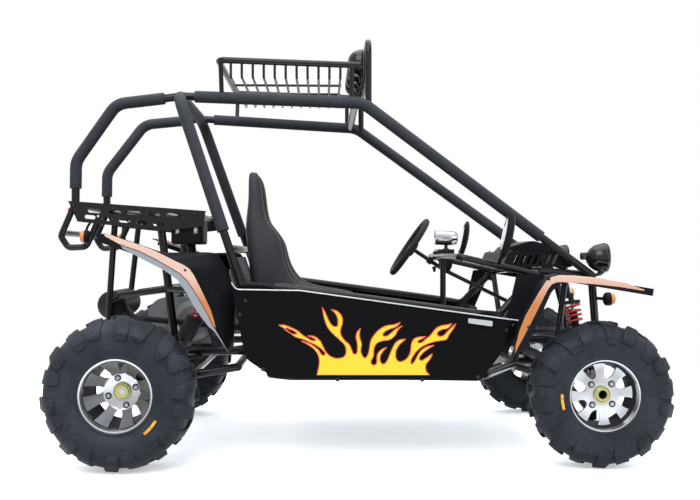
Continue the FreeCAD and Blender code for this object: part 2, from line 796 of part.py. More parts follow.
def make_mirrors():
    """A pair of mirrors: shaped heads on arms from the dash side bars."""
    shapes = []
    for side in (1, -1):
        x, y, z = shoulder_spot
        share = 0.5
        root = vec(dash_x + share * (x - dash_x), side * (490 + share * (y - 490)), dash_z + share * (z - dash_z))
        arm = bar(root, vec(566, side * 528, 800), 7)
        head = Part.makeSphere(1)
        matrix = FreeCAD.Matrix(20, 0, 0, 0, 0, 52, 0, 0, 0, 0, 92, 0, 0, 0, 0, 1)
        head = head.transformGeometry(matrix)
        head.Placement = Placement(vec(578, side * 530, 852), Rotation(Vector(0, 1, 0), 12))
        whole = arm.fuse(head)
        side_bar = bar(vec(dash_x, side * 490, dash_z), vec(x, side * y, z), brace_tube + fit_gap)
        shapes.append(coped(whole, [side_bar]))
    return solid_part("mirrors", Part.Compound(shapes))


def make_seat_frames():
    """The rails and short posts that hold the seats off the floor."""
    shapes = []
    top = 460 - brace_tube - fit_gap
    for middle in (seat_y, -seat_y):
        for y in (middle - 120, middle + 120):
            runner = bar(vec(-340, y, top), vec(30, y, top), brace_tube)
            feet = [bar(vec(x, y, floor_rail_z + rail_tube + sheet_thickness + 2 * fit_gap), vec(x, y, top), 10)
                    for x in (-190, 0)]
            shapes.append(fuse([runner] + feet))
        for x in (-190, 0):
            shapes.append(bar(vec(x, middle - 120, top), vec(x, middle + 120, top), 10))
    whole = shapes[0].multiFuse(shapes[1:])
    return solid_part("seat_frames", whole)


def rack_uprights(grow):
    """The four legs of the rack, from its top rail down on to the roof rails."""
    legs = []
    for x, z in ((rack_rear_x + 8, rack_rear_z), (0, rack_front_z)):
        share = (float(x) - float(hoop_top_x)) / (float(roof_bend_x) - float(hoop_top_x))
        low_y = (hoop_half_top - 8) + (roof_half_front - hoop_half_top + 8) * share
        low_z = hoop_top_z + (roof_bend_z - hoop_top_z) * share
        legs.append(bar(vec(x, rack_half, z), vec(x, low_y, low_z), 9 + grow))
    return both_sides(legs)


def make_roof_rack():
    """The open basket on the roof: a top rail, bent rods across, lengthwise floor rods and four legs."""
    half = float(rack_half)
    rail = tube([vec(rack_rear_x, 0, rack_rear_z), vec(rack_rear_x, half, rack_rear_z), vec(34.5, half, rack_front_z)],
                brace_tube, 30)
    shapes = [rail, mirrored(rail)] + rack_uprights(0)
    fall = (float(rack_rear_z) - float(rack_front_z)) / (34.5 - float(rack_rear_x))
    for index in range(11):
        x = float(rack_rear_x) + 48 + index * 42.6
        top = float(rack_rear_z) - fall * (x - float(rack_rear_x))
        side_rod = tube([vec(x, half, top), vec(x, half, rack_floor_z), vec(x, 0, rack_floor_z)], rod_radius, 14)
        shapes += [side_rod, mirrored(side_rod)]
    for y in (-200, 0, 200):
        shapes.append(bar(vec(rack_rear_x + 40, y, rack_floor_z), vec(-38, y, rack_floor_z), rod_radius))
    rails = [roof_rail_tube(side, cage_tube + fit_gap) for word, side in SIDES]
    return solid_part("roof_rack", coped(shapes[0].multiFuse(shapes[1:]), rails))


def guard_loop(radius):
    """The tall loop of tube ahead of the rack."""
    foot = 1352
    return tube([vec(66, guard_half, foot), vec(66, guard_half, 1621), vec(66, -guard_half, 1621),
                 vec(66, -guard_half, foot)], radius, 50)


def make_light_guard():
    """The loop that carries and guards the roof lamps, with its shelf tube and two upright bars."""
    shapes = [bar(vec(66, -guard_half, 1478), vec(66, guard_half, 1478), 9)]
    for y in (-160, 0, 160):
        shapes.append(bar(vec(66, y, 1478), vec(66, y, 1621), 5))
    rails = [roof_rail_tube(side, cage_tube + fit_gap) for word, side in SIDES]
    return solid_part("light_guard", coped(guard_loop(brace_tube).multiFuse(shapes), rails))


def make_roof_lamps():
    """Four round lamps in a row behind the guard, on a shelf tube."""
    shapes = []
    for y in (-240, -80, 80, 240):
        bowl = turned([(0, 16), (6, 34), (20, 48), (36, 53), (38, 56), (62, 56), (62, 50), (57, 49)],
                      vec(-12, y, 1552), Vector(1, 0, 0))
        foot = bar(vec(40, y, 1478), vec(40, y, 1552), 8)
        stub = bar(vec(40, y, 1478), vec(66 - 9 - fit_gap, y, 1478), 8)
        shapes.append(fuse([bowl, foot, stub]))
    return solid_part("roof_lamps", Part.Compound(shapes))


def make_headlamps():
    """The pair of round headlamps at the ends of the nose tube, each on a post."""
    shapes = []
    for side in (1, -1):
        y = side * 300
        bowl = turned([(0, 24), (4, 33), (12, 43), (24, 51), (40, 56), (56, 57), (58, 60), (80, 60), (80, 54), (73, 52),
                       (77, 30)], vec(944, y, 765), Vector(1, 0, 0))
        knob = bar(vec(916, y, 772), vec(960, y, 772), 15)
        post = bar(vec(1000, y, 700), vec(1000, y, 760), 8)
        foot = bar(vec(nose_x + brace_tube + fit_gap, y, nose_z), vec(1004, y, nose_z), 8)
        tube_down = bar(vec(nose_x, side * nose_half, nose_z), vec(front_end_x, side * (front_half + 5), front_up_z),
                        rail_tube + fit_gap)
        shapes.append(coped(fuse([bowl, knob, post, foot]), [tube_down]))
    return solid_part("headlamps", Part.Compound(shapes))


def make_turn_signals():
    """Four round amber lamps, two at the nose and two under the carrier."""
    shapes = []
    for side in (1, -1):
        lens = [(0, 16), (6, 25), (24, 27), (26, 25), (38, 24), (44, 18), (46, 8)]
        lamp = turned(lens, vec(1012, side * 300, 600), Vector(1, 0, 0))
        stalk = bar(vec(980, side * 266, 600), vec(1025, side * 300, 600), 7)
        tube_down = bar(vec(nose_x, side * nose_half, nose_z), vec(front_end_x, side * (front_half + 5), front_up_z),
                        rail_tube + fit_gap)
        shapes.append(coped(fuse([lamp, stalk]), [tube_down]))
        lens = [(0, 27), (20, 27), (22, 25), (32, 24), (37, 18), (39, 8)]
        spot = vec(-1025, side * (float(carrier_half) + 22), 848)
        shapes.append(turned(lens, spot, Vector(-1, 0, 0)))
    return solid_part("turn_signals", Part.Compound(shapes))


def carrier_slots():
    """The cut-outs of one carrier plate as corner lists: an upper and a lower row, following the plate's edges."""
    slots = []
    for x in (-1040, -962, -884, -807, -730):
        low = 929 - (x + 955) * 0.055
        slots.append([(x, low + 20), (x + 6, low + 26), (x + 46, low + 23), (x + 52, low + 17), (x + 52, low + 12),
                      (x + 46, low + 8), (x + 6, low + 11), (x, low + 15)])
    for x in (-1052, -985, -918, -851, -784):
        low = 916 - (x + 1052) * 0.105
        slots.append([(x, low + 14), (x + 5, low + 19), (x + 37, low + 16), (x + 42, low + 11), (x + 42, low + 6),
                      (x + 37, low + 1), (x + 5, low + 4), (x, low + 9)])
    return slots


def make_carrier():
    """The rear carrier: two perforated side plates with folded lips, and cross tubes between them."""
    shapes = []
    half = float(carrier_half)
    for side in (1, -1):
        corners = [(-1117, 990), (-577, 951), (-585, 890), (-739, 871), (-1080, 908)]
        wire = Part.makePolygon([vec(x, side * half, z) for x, z in corners + [corners[0]]])
        plate = Part.Face(wire).extrude(vec(0, -side * 5, 0))
        lip = Part.makePolygon([vec(x, side * half, z) for x, z in
                                [(-1117, 990), (-577, 951), (-577, 946), (-1115, 985), (-1117, 990)]])
        plate = plate.fuse(Part.Face(lip).extrude(vec(0, -side * 17, 0)))
        for x in (-1000, -660):
            plate = plate.cut(bar(vec(x, side * (half - 10), 930), vec(x, side * (half + 10), 930), carrier_hole))
        for slot in carrier_slots():
            wire = Part.makePolygon([vec(x, side * (half + 1), z) for x, z in slot + [slot[0]]])
            plate = plate.cut(Part.Face(wire).extrude(vec(0, -side * 7, 0)))
        shapes.append(plate)
    for x, z in ((float(carrier_rear_x), 975), (-940, 960), (-780, 948), (-620, 936)):
        shapes.append(bar(vec(x, -carrier_half, z), vec(x, carrier_half, z), brace_tube))
    return solid_part("rear_carrier", fuse(shapes))


def make_rear_bumper():
    """The small loops of tube behind the carrier."""
    shapes = []
    inner = carrier_half - 5 - brace_tube - fit_gap
    for side in (1, -1):
        shapes.append(tube([vec(-1002, side * inner, 915), vec(-1050, side * inner, 808),
                            vec(-1120, side * inner, 805), vec(-1150, side * inner, 850),
                            vec(carrier_rear_x, side * inner, 975)], brace_tube, [30, 25, 25]))
    bow = inner - 82
    shapes.append(tube([vec(-1148, -inner, 850), vec(-1160, -bow, 865), vec(-1160, bow, 865), vec(-1148, inner, 850)],
                       brace_tube, 30))
    carrier_tube = bar(vec(carrier_rear_x, -carrier_half, 975), vec(carrier_rear_x, carrier_half, 975),
                       brace_tube + fit_gap)
    return solid_part("rear_bumper", coped(fuse(shapes), [carrier_tube]))


def make_air_box():
    """The moulded air filter box under the carrier, its edges rounded."""
    box = block(vec(-717, -290, 818), vec(-590, -120, 936 - brace_tube - fit_gap))
    return solid_part("air_box", box.makeFillet(10, box.Edges))


def make_engine():
    """The open engine: crankcase with a round cover, forward finned barrel and head, inlet and belt case."""
    base = cradle_z + rail_tube + fit_gap
    centre_z = 505
    case = block(vec(-770, -110, base), vec(-560, 110, 600))
    case = case.makeFillet(26, [edge for edge in case.Edges if abs(edge.tangentAt(edge.FirstParameter).y) > 0.9])
    cover = turned([(0, 84), (22, 84), (34, 70), (40, 62), (40, 34), (46, 30)], vec(-650, -104, centre_z), Vector(0, -1, 0))
    starter = turned([(0, 28), (110, 28), (116, 20)], vec(-735, 60, 622), Vector(0, -1, 0))
    barrel = bar(vec(-562, 0, centre_z), vec(-420, 0, centre_z), 40)
    fins = []
    for index in range(10):
        x = -550 + index * 11
        fins.append(block(vec(x, -64, centre_z - 64), vec(x + 4, 64, centre_z + 64)))
    head = block(vec(-448, -56, centre_z - 56), vec(-418, 56, centre_z + 56))
    head = head.makeFillet(10, [edge for edge in head.Edges if abs(edge.tangentAt(edge.FirstParameter).x) > 0.9])
    head_cover = turned([(0, 46), (8, 46), (15, 34)], vec(-419, 0, centre_z), Vector(1, 0, 0))
    inlet = tube([vec(-433, 0, centre_z + 40), vec(-433, 0, 640), vec(-500, 0, 680), vec(-580, -30, 690)], 15, [30, 40])
    carburettor = bar(vec(-490, 0, 640), vec(-490, 0, 716), 24)
    belt_profile = [vec(-800, 108, 430), vec(-500, 108, 440), vec(-500, 108, 570), vec(-800, 108, 590), vec(-800, 108, 430)]
    belt = Part.Face(Part.makePolygon(belt_profile)).extrude(Vector(0, 72, 0))
    belt = fuse([belt, bar(vec(-800, 108, 510), vec(-800, 180, 510), 80), bar(vec(-500, 108, 505), vec(-500, 180, 505), 65)])
    vents = turned([(0, 44), (8, 44), (12, 36)], vec(-500, 178, 505), Vector(0, 1, 0))
    whole = fuse([case, cover, starter, barrel, head, head_cover, inlet, carburettor, belt, vents] + fins)
    return solid_part("engine", whole)


def make_muffler():
    """The silencer across the back of the engine on the guard's low tube, and its pipe from the head."""
    z = 500 + brace_tube + fit_gap + 58
    can = turned([(0, 22), (14, 44), (26, 58), (334, 58), (346, 44), (360, 22)], vec(-979, -180, z), Vector(0, 1, 0))
    pipe = tube([vec(-433, -56 - fit_gap, 480), vec(-433, -190, 478), vec(-880, -190, 520), vec(-935, -110, 560)],
                13, [40, 50])
    tail = bar(vec(-1030, 110, z), vec(-1075, 110, z - 8), 14)
    return solid_part("muffler", fuse([can, pipe, tail]))


# Rear running gear
def make_swing_arm():
    """The trailing arm: two side tubes, cross tubes and a bearing for the axle in each side."""
    shapes = []
    axle = vec(rear_axle_x, 0, rear_wheel_z)
    for side in (1, -1):
        shapes.append(bar(vec(arm_pivot_x, side * arm_y, arm_pivot_z), vec(rear_axle_x, side * arm_y, rear_wheel_z),
                          rail_tube))
        shapes.append(bar(vec(rear_axle_x, side * (arm_y - 22), rear_wheel_z),
                          vec(rear_axle_x, side * (arm_y + 22), rear_wheel_z), bearing_radius))
        shapes.append(slab(vec(-664, side * arm_y, 369), 34, 12, 122))
    shapes.append(bar(vec(arm_pivot_x, -arm_y, arm_pivot_z), vec(arm_pivot_x, arm_y, arm_pivot_z), rail_tube))
    shapes.append(bar(vec(-620, -arm_y, 316), vec(-620, arm_y, 316), rail_tube))
    arm = fuse(shapes)
    hole = bar(axle - vec(0, 500, 0), axle + vec(0, 500, 0), axle_radius + running_gap)
    return solid_part("swing_arm", arm.cut(hole))


def make_rear_axle():
    """The live axle with its two hubs, sprocket and brake disc."""
    centre = vec(rear_axle_x, 0, rear_wheel_z)
    half = vec(0, rear_half_track - 6, 0)
    shapes = [bar(centre - half, centre + half, axle_radius)]
    shapes.append(bar(centre + vec(0, 218, 0), centre + vec(0, 224, 0), 95))
    shapes.append(bar(centre - vec(0, 222, 0), centre - vec(0, 218, 0), 90))
    for side in (1, -1):
        shapes.append(bar(centre + vec(0, side * 200, 0), centre + vec(0, side * 240, 0), 30))
    return solid_part("rear_axle", fuse(shapes))


def make_shock(foot, head, spring_radius):
    """A strut between its two eyes: rod, collars and a spring drawn as ribs of its coils."""
    along = (head - foot).normalize()
    length = (head - foot).Length
    coils = 5
    low, high = 0.30 * length, 0.88 * length
    pitch = (high - low - 16) / coils
    profile = [(0, spring_radius), (8, spring_radius)]
    for index in range(coils):
        start = 8 + index * pitch
        profile += [(start + 0.12 * pitch, 17), (start + 0.38 * pitch, 17), (start + 0.5 * pitch, spring_radius - 2),
                    (start + 0.88 * pitch, spring_radius - 2)]
    profile += [(high - low - 8, 17), (high - low - 7, spring_radius), (high - low, spring_radius)]
    shapes = [bar(foot, head, 9)]
    shapes.append(turned(profile, foot + along * low, along))
    for eye in (foot, head):
        shapes.append(bar(eye - Vector(0, 14, 0), eye + Vector(0, 14, 0), 15))
    return fuse(shapes)


def make_rear_shocks():
    """Two struts from the trailing arm to the frame."""
    shapes = []
    for side in (1, -1):
        shapes.append(make_shock(vec(-664, side * (arm_y + 6 + 14 + fit_gap), 418),
                                 vec(-562, side * 410, 640 - brace_tube - 15 - fit_gap), 27))
    return solid_part("rear_shocks", Part.Compound(shapes))


def make_front_shocks():
    """Two struts from the lower front arms to the frame."""
    shapes = []
    for side in (1, -1):
        shapes.append(make_shock(vec(882, side * 405, 424), vec(852, side * 352, 690), 30))
    return solid_part("front_shocks", Part.Compound(shapes))


def make_front_arm(name, side):
    """The upper and lower wishbones of one front corner, with their ball joints and strut seat."""
    low_z = front_wheel_z - ball_reach
    high_z = front_wheel_z + ball_reach
    y = side * kingpin_y
    low_ball = vec(front_axle_x, side * (kingpin_y - 8), low_z - 20)
    high_ball = vec(front_axle_x, side * (kingpin_y - 8), high_z + 20)
    lower = fuse([bar(vec(855, side * (front_half + 22), 295), low_ball, brace_tube),
                  bar(vec(985, side * (front_half + 22), 295), low_ball, brace_tube),
                  bar(vec(front_axle_x, y, low_z - fit_gap), vec(front_axle_x, y, low_z - 38), 19)])
    upper = fuse([bar(vec(860, side * (front_half + 27), 430), high_ball, brace_tube),
                  bar(vec(985, side * (front_half + 27), 430), high_ball, brace_tube),
                  bar(vec(front_axle_x, y, high_z + fit_gap), vec(front_axle_x, y, high_z + 38), 19),
                  bar(vec(882, side * 405, 380), vec(882, side * 405, 424 - 15 - fit_gap), 8),
                  bar(vec(880, side * 403, 388), vec(925, side * 403, 388), 9)])
    return solid_part(name, Part.Compound([lower, upper]))


def make_knuckle(name, side):
    """The upright that turns on the kingpin, with its stub axle and steering arm."""
    centre = vec(front_axle_x, side * kingpin_y, front_wheel_z)
    shapes = [bar(centre - vec(0, 0, ball_reach), centre + vec(0, 0, ball_reach), 15)]
    shapes.append(bar(centre, centre + vec(0, side * 130, 0), 10))
    tip = centre + vec(-steer_arm, -side * 8, tie_rod_z - 20 - front_wheel_z)
    root = centre + vec(0, 0, tie_rod_z - 20 - front_wheel_z)
    shapes.append(bar(root, tip, 8))
    shapes.append(bar(tip - vec(0, 0, 9), tip + vec(0, 0, 9), 12))
    return solid_part(name, fuse(shapes))


def make_steering_wheel():
    """The steering wheel, its three spokes, hub and upper shaft."""
    ring_shape = Part.makeTorus(float(wheel_ring), float(wheel_grip))
    shapes = [ring_shape, Part.makeCylinder(34, 30, Vector(0, 0, -30))]
    for turn in (90, 210, 330):
        angle = math.radians(turn)
        end = Vector(math.cos(angle), math.sin(angle), 0) * float(wheel_ring)
        shapes.append(bar(Vector(0, 0, -12), end, 6))
    shapes.append(Part.makeCylinder(float(shaft_radius), 165, Vector(0, 0, -175)))
    tilt = float(column_tilt) - 90
    return solid_part("steering_wheel", fuse(shapes),
                      Placement(vec(hub_x, column_y, hub_z), Rotation(Vector(0, 1, 0), tilt)))


def make_rack():
    """The sliding rack bar with a tie rod end at each side."""
    x = front_axle_x - steer_arm
    end = kingpin_y - 8
    shapes = [bar(vec(x, -end, tie_rod_z), vec(x, end, tie_rod_z), 7)]
    for side in (1, -1):
        shapes.append(bar(vec(x, side * end, tie_rod_z - 9), vec(x, side * end, tie_rod_z + 9), 12))
    return solid_part("tie_rods", fuse(shapes))


def make_steering_gear():
    """The housing the rack slides in, with its upright input case and two saddles on the frame."""
    x = float(front_axle_x - steer_arm)
    rack_bore = 7 + fit_gap
    housing = bar(vec(x, -225, tie_rod_z), vec(x, 265, tie_rod_z), 22)
    case = block(vec(x - 28, front_half + 5 + rail_tube + fit_gap, tie_rod_z - 20), vec(x + 18, 264, 545))
    saddles = [block(vec(x - 12, side * 200 - 12, front_low_z + rail_tube + fit_gap),
                     vec(x + 12, side * 200 + 12, tie_rod_z - 10)) for side in (1, -1)]
    bore = bar(vec(x, -300, tie_rod_z), vec(x, 300, tie_rod_z), rack_bore)
    seat = bar(column_spot(186), lower_shaft_end(), shaft_radius + running_gap)
    return solid_part("steering_gear", fuse([housing, case] + saddles).cut([bore, seat]))


def lower_shaft_end():
    """The lower end of the lower steering shaft, inside the input case."""
    return vec(front_axle_x - steer_arm - 14, column_y, 530)


def make_lower_shaft():
    """The lower steering shaft, from the joint under the dash to the input case."""
    start = column_spot(186)
    return solid_part("lower_shaft", bar(start, lower_shaft_end(), shaft_radius))


def make_pedals():
    """The two foot pedals on a pivot tube with two posts on the floor."""
    floor = floor_rail_z + rail_tube + sheet_thickness + 2 * fit_gap
    shapes = [bar(vec(590, 70, 395), vec(590, 230, 395), 9)]
    for y in (85, 215):
        shapes.append(bar(vec(590, y, floor), vec(590, y, 395), 9))
    for y in (110, 190):
        shapes.append(bar(vec(590, y, 395), vec(565, y, 500), 7))
        shapes.append(slab(vec(562, y, 512), 8, 62, 70))
    return solid_part("pedals", fuse(shapes))


def tread_ring(offset, tooth, gap, turn, radius, every=1):
    """A ring through the tread blocks: up to one radius along each block and down to another between them."""
    reach = float(block_half) / float(radius)
    points = []
    for index in range(TREAD_BLOCKS):
        middle = (index + turn) * 2 * math.pi / TREAD_BLOCKS - reach
        corners = [(middle - reach, gap), (middle - reach, tooth), (middle + reach, tooth), (middle + reach, gap)]
        if index % every:
            corners = [corners[0], corners[3]]
        for angle, height in corners:
            points.append(Vector(height * math.sin(angle), offset, height * math.cos(angle)))
    return points


def make_tyre(name, x, y, radius, width, rim_half):
    """A tyre of flat faces: two rows of tread blocks, long and short in turn, over side walls and beads."""
    half = float(width) / 2
    tip = float(radius)
    crown = tip - float(tread_depth)
    wall = 0.75 * tip
    bead = rim_seat_radius + rim_flange_height + 12
    middle = 0.06 * half
    shapes = [faceted([prism_ring(crown - 1, -middle), prism_ring(crown - 1, middle)])]
    for side, turn in ((1, 0.0), (-1, 0.5)):
        deep, short, shoulder = side * 0.06 * half, side * 0.30 * half, side * 0.76 * half
        shapes.append(faceted([tread_ring(deep, tip, crown, turn, radius, 2), tread_ring(short, tip, crown, turn, radius, 2)]))
        shapes.append(faceted([tread_ring(short, tip, crown, turn, radius),
                               tread_ring(shoulder, tip - 8, crown - 8, turn, radius),
                               tread_ring(side * half, tip - 40, tip - 54, turn, radius)]))
    shape = shapes[0].multiFuse(shapes[1:]).removeSplitter()
    cuts = [prism(rim_seat_radius, -half - 1, half + 1, RIM_FLATS)]
    for side in (1, -1):
        ends = sorted((side * float(rim_half), side * (half + 1)))
        cuts.append(prism(rim_seat_radius + rim_flange_height + 1, ends[0], ends[1], RIM_FLATS))
        cuts.append(faceted([prism_ring(bead, side * (rim_half + 7)), prism_ring(wall, side * half),
                             prism_ring(wall, side * (half + 1))]))
    return solid_part(name, shape.cut(cuts), Placement(vec(x, y, radius), Rotation()))


def prism_ring(radius, offset):
    """An even ring of corners about the Y axis."""
    points = []
    for step in range(TREAD_BLOCKS):
        angle = 2 * math.pi * step / TREAD_BLOCKS
        points.append(vec(radius * math.sin(angle), offset, radius * math.cos(angle)))
    return points


def make_rim(name, x, y, z, side, half, hub_y, disc_y, wall, hub_bore, turn_window):
    """A cast rim: barrel, flanges, a dished disc with eight windows, and a hub."""
    turn = 0 if side > 0 else 180
    body = new_body(name, Placement(vec(x, y, z), Rotation(Vector(0, 0, 1), turn)))
    seat = rim_seat_radius - fit_gap
    lip = rim_seat_radius + rim_flange_height
    inner = seat - rim_wall
    edge = half + fit_gap
    sketch = new_sketch(body, "RimSection", "XY_Plane")
    outline(sketch, [(inner, -edge - 6), (lip, -edge - 6), (lip, -edge), (seat, -edge), (seat, edge), (lip, edge),
                     (lip, edge + 6), (inner, edge + 6), (inner, disc_y), (66, hub_y + 3), (58, hub_y),
                     (hub_bore, hub_y), (hub_bore, hub_y - 44), (45, hub_y - 44), (45, hub_y - 14),
                     (60, hub_y - 14), (inner, disc_y - wall)])
    revolve(body, sketch)
    window = new_sketch(body, "RimWindow", "XZ_Plane")
    spin = Rotation(Vector(0, 0, 1), turn_window)
    spots = [spin.multVec(vec(reach, rise, 0)) for reach, rise in ((64, -11), (112, -21), (112, 21), (64, 11))]
    outline(window, [(spot.x, spot.y, 8) for spot in spots])
    cut = pocket_through(body, window)
    polar(body, cut, "Y_Axis", 8)
    return body


make_main_hoop()
make_frame()
make_floor()
make_cage_crossbar()
make_cage_pads()
for word, side in SIDES:
    make_roof_rail("roof_rail_" + word, side)
    make_rear_stay("rear_stay_" + word, side)
    make_side_panel("side_panel_" + word, side)
    make_front_fender("front_fender_" + word, side)
    make_rear_fender("rear_fender_" + word, side)
    make_front_post("front_post_panel_" + word, side)
    make_seat("seat_" + word, side)
    make_front_arm("front_arms_" + word, side)
    make_knuckle("knuckle_" + word, side)
    make_tyre("front_tyre_" + word, front_axle_x, side * front_half_track, front_tyre_radius, front_tyre_width,
              front_rim_half)
    make_rim("front_rim_" + word, front_axle_x, side * front_half_track, front_wheel_z, side, front_rim_half, 27,
             39, 14, 10 + running_gap, 18)
    make_tyre("rear_tyre_" + word, rear_axle_x, side * rear_half_track, rear_tyre_radius, rear_tyre_width,
              rear_rim_half)
    make_rim("rear_rim_" + word, rear_axle_x, side * rear_half_track, rear_wheel_z, side, rear_rim_half, -16,
             78, 26, axle_radius + fit_gap, 6)
make_nose_cover()
make_dash()
make_seat_frames()
make_speedometer()
make_mirrors()
make_roof_rack()
make_light_guard()
make_roof_lamps()
make_headlamps()
make_turn_signals()
make_carrier()
make_rear_bumper()
make_air_box()
make_engine()
make_muffler()
make_swing_arm()
make_rear_axle()
make_rear_shocks()
make_front_shocks()
make_steering_wheel()
make_rack()
make_steering_gear()
make_lower_shaft()
make_pedals()

doc.recompute()

faults = []
exported = []
for thing in doc.Objects:
    if "Invalid" in thing.State or "Error" in thing.State:
        faults.append(thing.Label + " failed to recompute")
for thing in doc.Objects:
    if thing.TypeId not in ("PartDesign::Body", "Part::Feature"):
        continue
    if thing.Shape.isNull() or not thing.Shape.isValid():
        faults.append(thing.Label + " has no sound shape")
        continue
    exported.append(thing)
if faults:
    raise RuntimeError("; ".join(faults))
for thing in exported:
    thing.Shape.exportStep("parts/%s.step" % thing.Label)
    box = thing.Shape.BoundBox
    print("%-26s %2d solids %9.0f cm3  x %6.0f %6.0f  y %6.0f %6.0f  z %6.0f %6.0f" % (
        thing.Label, len(thing.Shape.Solids), thing.Shape.Volume / 1000, box.XMin, box.XMax, box.YMin, box.YMax,
        box.ZMin, box.ZMax))
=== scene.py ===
# %% [markdown]
# ## The imported buggy as a fixed frame
# The CAD model comes in first and never moves: every piece below is made in metres at the place
# where it sits on the vehicle, so nothing has to be fitted by eye.
# %% Load the frame
import math

import bpy
from mathutils import Matrix, Vector


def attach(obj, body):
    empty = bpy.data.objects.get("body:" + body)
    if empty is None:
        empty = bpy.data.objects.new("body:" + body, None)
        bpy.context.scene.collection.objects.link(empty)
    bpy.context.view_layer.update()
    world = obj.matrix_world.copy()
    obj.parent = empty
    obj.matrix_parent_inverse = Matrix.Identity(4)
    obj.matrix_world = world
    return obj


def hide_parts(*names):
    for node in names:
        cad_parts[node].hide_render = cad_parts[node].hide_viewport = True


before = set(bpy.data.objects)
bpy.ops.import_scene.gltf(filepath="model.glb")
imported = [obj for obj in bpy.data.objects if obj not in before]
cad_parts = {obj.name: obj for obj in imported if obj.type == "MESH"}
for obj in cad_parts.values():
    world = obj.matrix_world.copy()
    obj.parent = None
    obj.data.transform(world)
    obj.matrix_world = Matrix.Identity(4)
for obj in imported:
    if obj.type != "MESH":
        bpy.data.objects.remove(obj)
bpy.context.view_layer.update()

# %% [markdown]
# ## Small habits for modelling
# An operator works on whatever is selected, so each helper first clears the selection. A finished
# piece keeps its object at the origin and its place in its mesh, as the CAD nodes do.
# %% Selection, naming and finishing helpers
MM = 0.001


def only(piece):
    """Make one object the active and only selected one."""
    bpy.ops.object.select_all(action="DESELECT")
    piece.select_set(True)
    bpy.context.view_layer.objects.active = piece
    return piece


def newest(name):
    """Name the object that an operator has just added."""
    piece = bpy.context.active_object
    piece.name = name
    piece.data.name = name
    return piece


def settle(piece):
    """Put the object's place, turn and size into its mesh."""
    only(piece)
    bpy.ops.object.transform_apply(location=True, rotation=True, scale=True)
    return piece


def in_edit(piece, *steps):
    """Run edit-mode steps on the whole mesh of a piece."""
    only(piece)
    bpy.ops.object.mode_set(mode="EDIT")
    bpy.ops.mesh.select_all(action="SELECT")
    for step in steps:
        step()
    bpy.ops.object.mode_set(mode="OBJECT")
    return piece


def on_faces(piece, chosen, *steps):
    """Run edit-mode steps on the faces of a piece that a test picks."""
    only(piece)
    bpy.ops.object.mode_set(mode="EDIT")
    bpy.ops.mesh.select_mode(type="FACE")
    bpy.ops.mesh.select_all(action="DESELECT")
    bpy.ops.object.mode_set(mode="OBJECT")
    for face in piece.data.polygons:
        face.select = chosen(face)
    bpy.ops.object.mode_set(mode="EDIT")
    for step in steps:
        step()
    bpy.ops.object.mode_set(mode="OBJECT")
    return piece


def outward():
    """Merge doubled points and turn all faces outwards."""
    bpy.ops.mesh.select_all(action="SELECT")
    bpy.ops.mesh.remove_doubles(threshold=0.00002)
    bpy.ops.mesh.normals_make_consistent(inside=False)


def modify(piece, kind, **settings):
    """Add one modifier, set it and apply it."""
    only(piece)
    added = piece.modifiers.new(kind.lower(), kind)
    for key, value in settings.items():
        setattr(added, key, value)
    bpy.ops.object.modifier_apply(modifier=added.name)
    return piece


def soften(piece, width, segments=2, angle=35):
    """Round the sharp edges of a piece, as moulding or machining leaves them."""
    return modify(piece, "BEVEL", width=width, segments=segments, limit_method="ANGLE",
                  angle_limit=math.radians(angle), use_clamp_overlap=True)


def smooth(piece, angle=40):
    """Shade a piece smooth, but keep edges above an angle sharp."""
    only(piece)
    bpy.ops.object.shade_smooth_by_angle(angle=math.radians(angle))
    return piece


def join(name, pieces):
    """Make one object of several."""
    bpy.ops.object.select_all(action="DESELECT")
    for piece in pieces:
        piece.select_set(True)
    bpy.context.view_layer.objects.active = pieces[0]
    if len(pieces) > 1:
        bpy.ops.object.join()
    return newest(name)


def copy_of(piece, name, change):
    """A copy with its own mesh, moved by a matrix."""
    mesh = piece.data.copy()
    mesh.transform(change)
    if change.determinant() < 0:
        mesh.flip_normals()
    twin = bpy.data.objects.new(name, mesh)
    bpy.context.collection.objects.link(twin)
    return twin


def carry(body, slot, *pieces):
    """Let pieces ride on a CAD body; the slot is not used."""
    for piece in pieces:
        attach(piece, body)


# %% [markdown]
# ## Three ways to make a shape
# Most parts of a buggy are plates cut from sheet, things turned on a lathe, and bent tube. A plate
# starts as a filled circle whose points are moved to the outline's corners and is then extruded. A
# turned part is a profile spun round its axis. A tube is a curve with a round bevel.
# %% Plates, turned parts and tubes
def plate(name, corners, low, high):
    """A plate whose outline lies in the X-Z plane, from Y low to Y high."""
    bpy.ops.mesh.primitive_circle_add(vertices=len(corners), radius=1, fill_type="NGON")
    piece = newest(name)
    for point, (x, z) in zip(piece.data.vertices, corners):
        point.co = (x * MM, low * MM, z * MM)
    step = {"value": (0, (high - low) * MM, 0)}
    return in_edit(piece, lambda: bpy.ops.mesh.extrude_region_move(TRANSFORM_OT_translate=step), outward)


def turned(name, profile, centre, axis, steps=64):
    """Spin a profile of (radius, distance along the axis) round an axis through a centre."""
    axis = Vector(axis).normalized()
    across = axis.orthogonal().normalized()
    origin = Vector(centre) * MM
    mesh = bpy.data.meshes.new(name)
    points = [origin + across * (r * MM) + axis * (h * MM) for r, h in profile]
    edges = [(i, i + 1) for i in range(len(points) - 1)]
    mesh.from_pydata(points, edges, [])
    piece = bpy.data.objects.new(name, mesh)
    bpy.context.collection.objects.link(piece)
    spin = {"steps": steps, "angle": math.tau, "center": origin, "axis": axis}
    return in_edit(piece, lambda: bpy.ops.mesh.spin(**spin), outward)


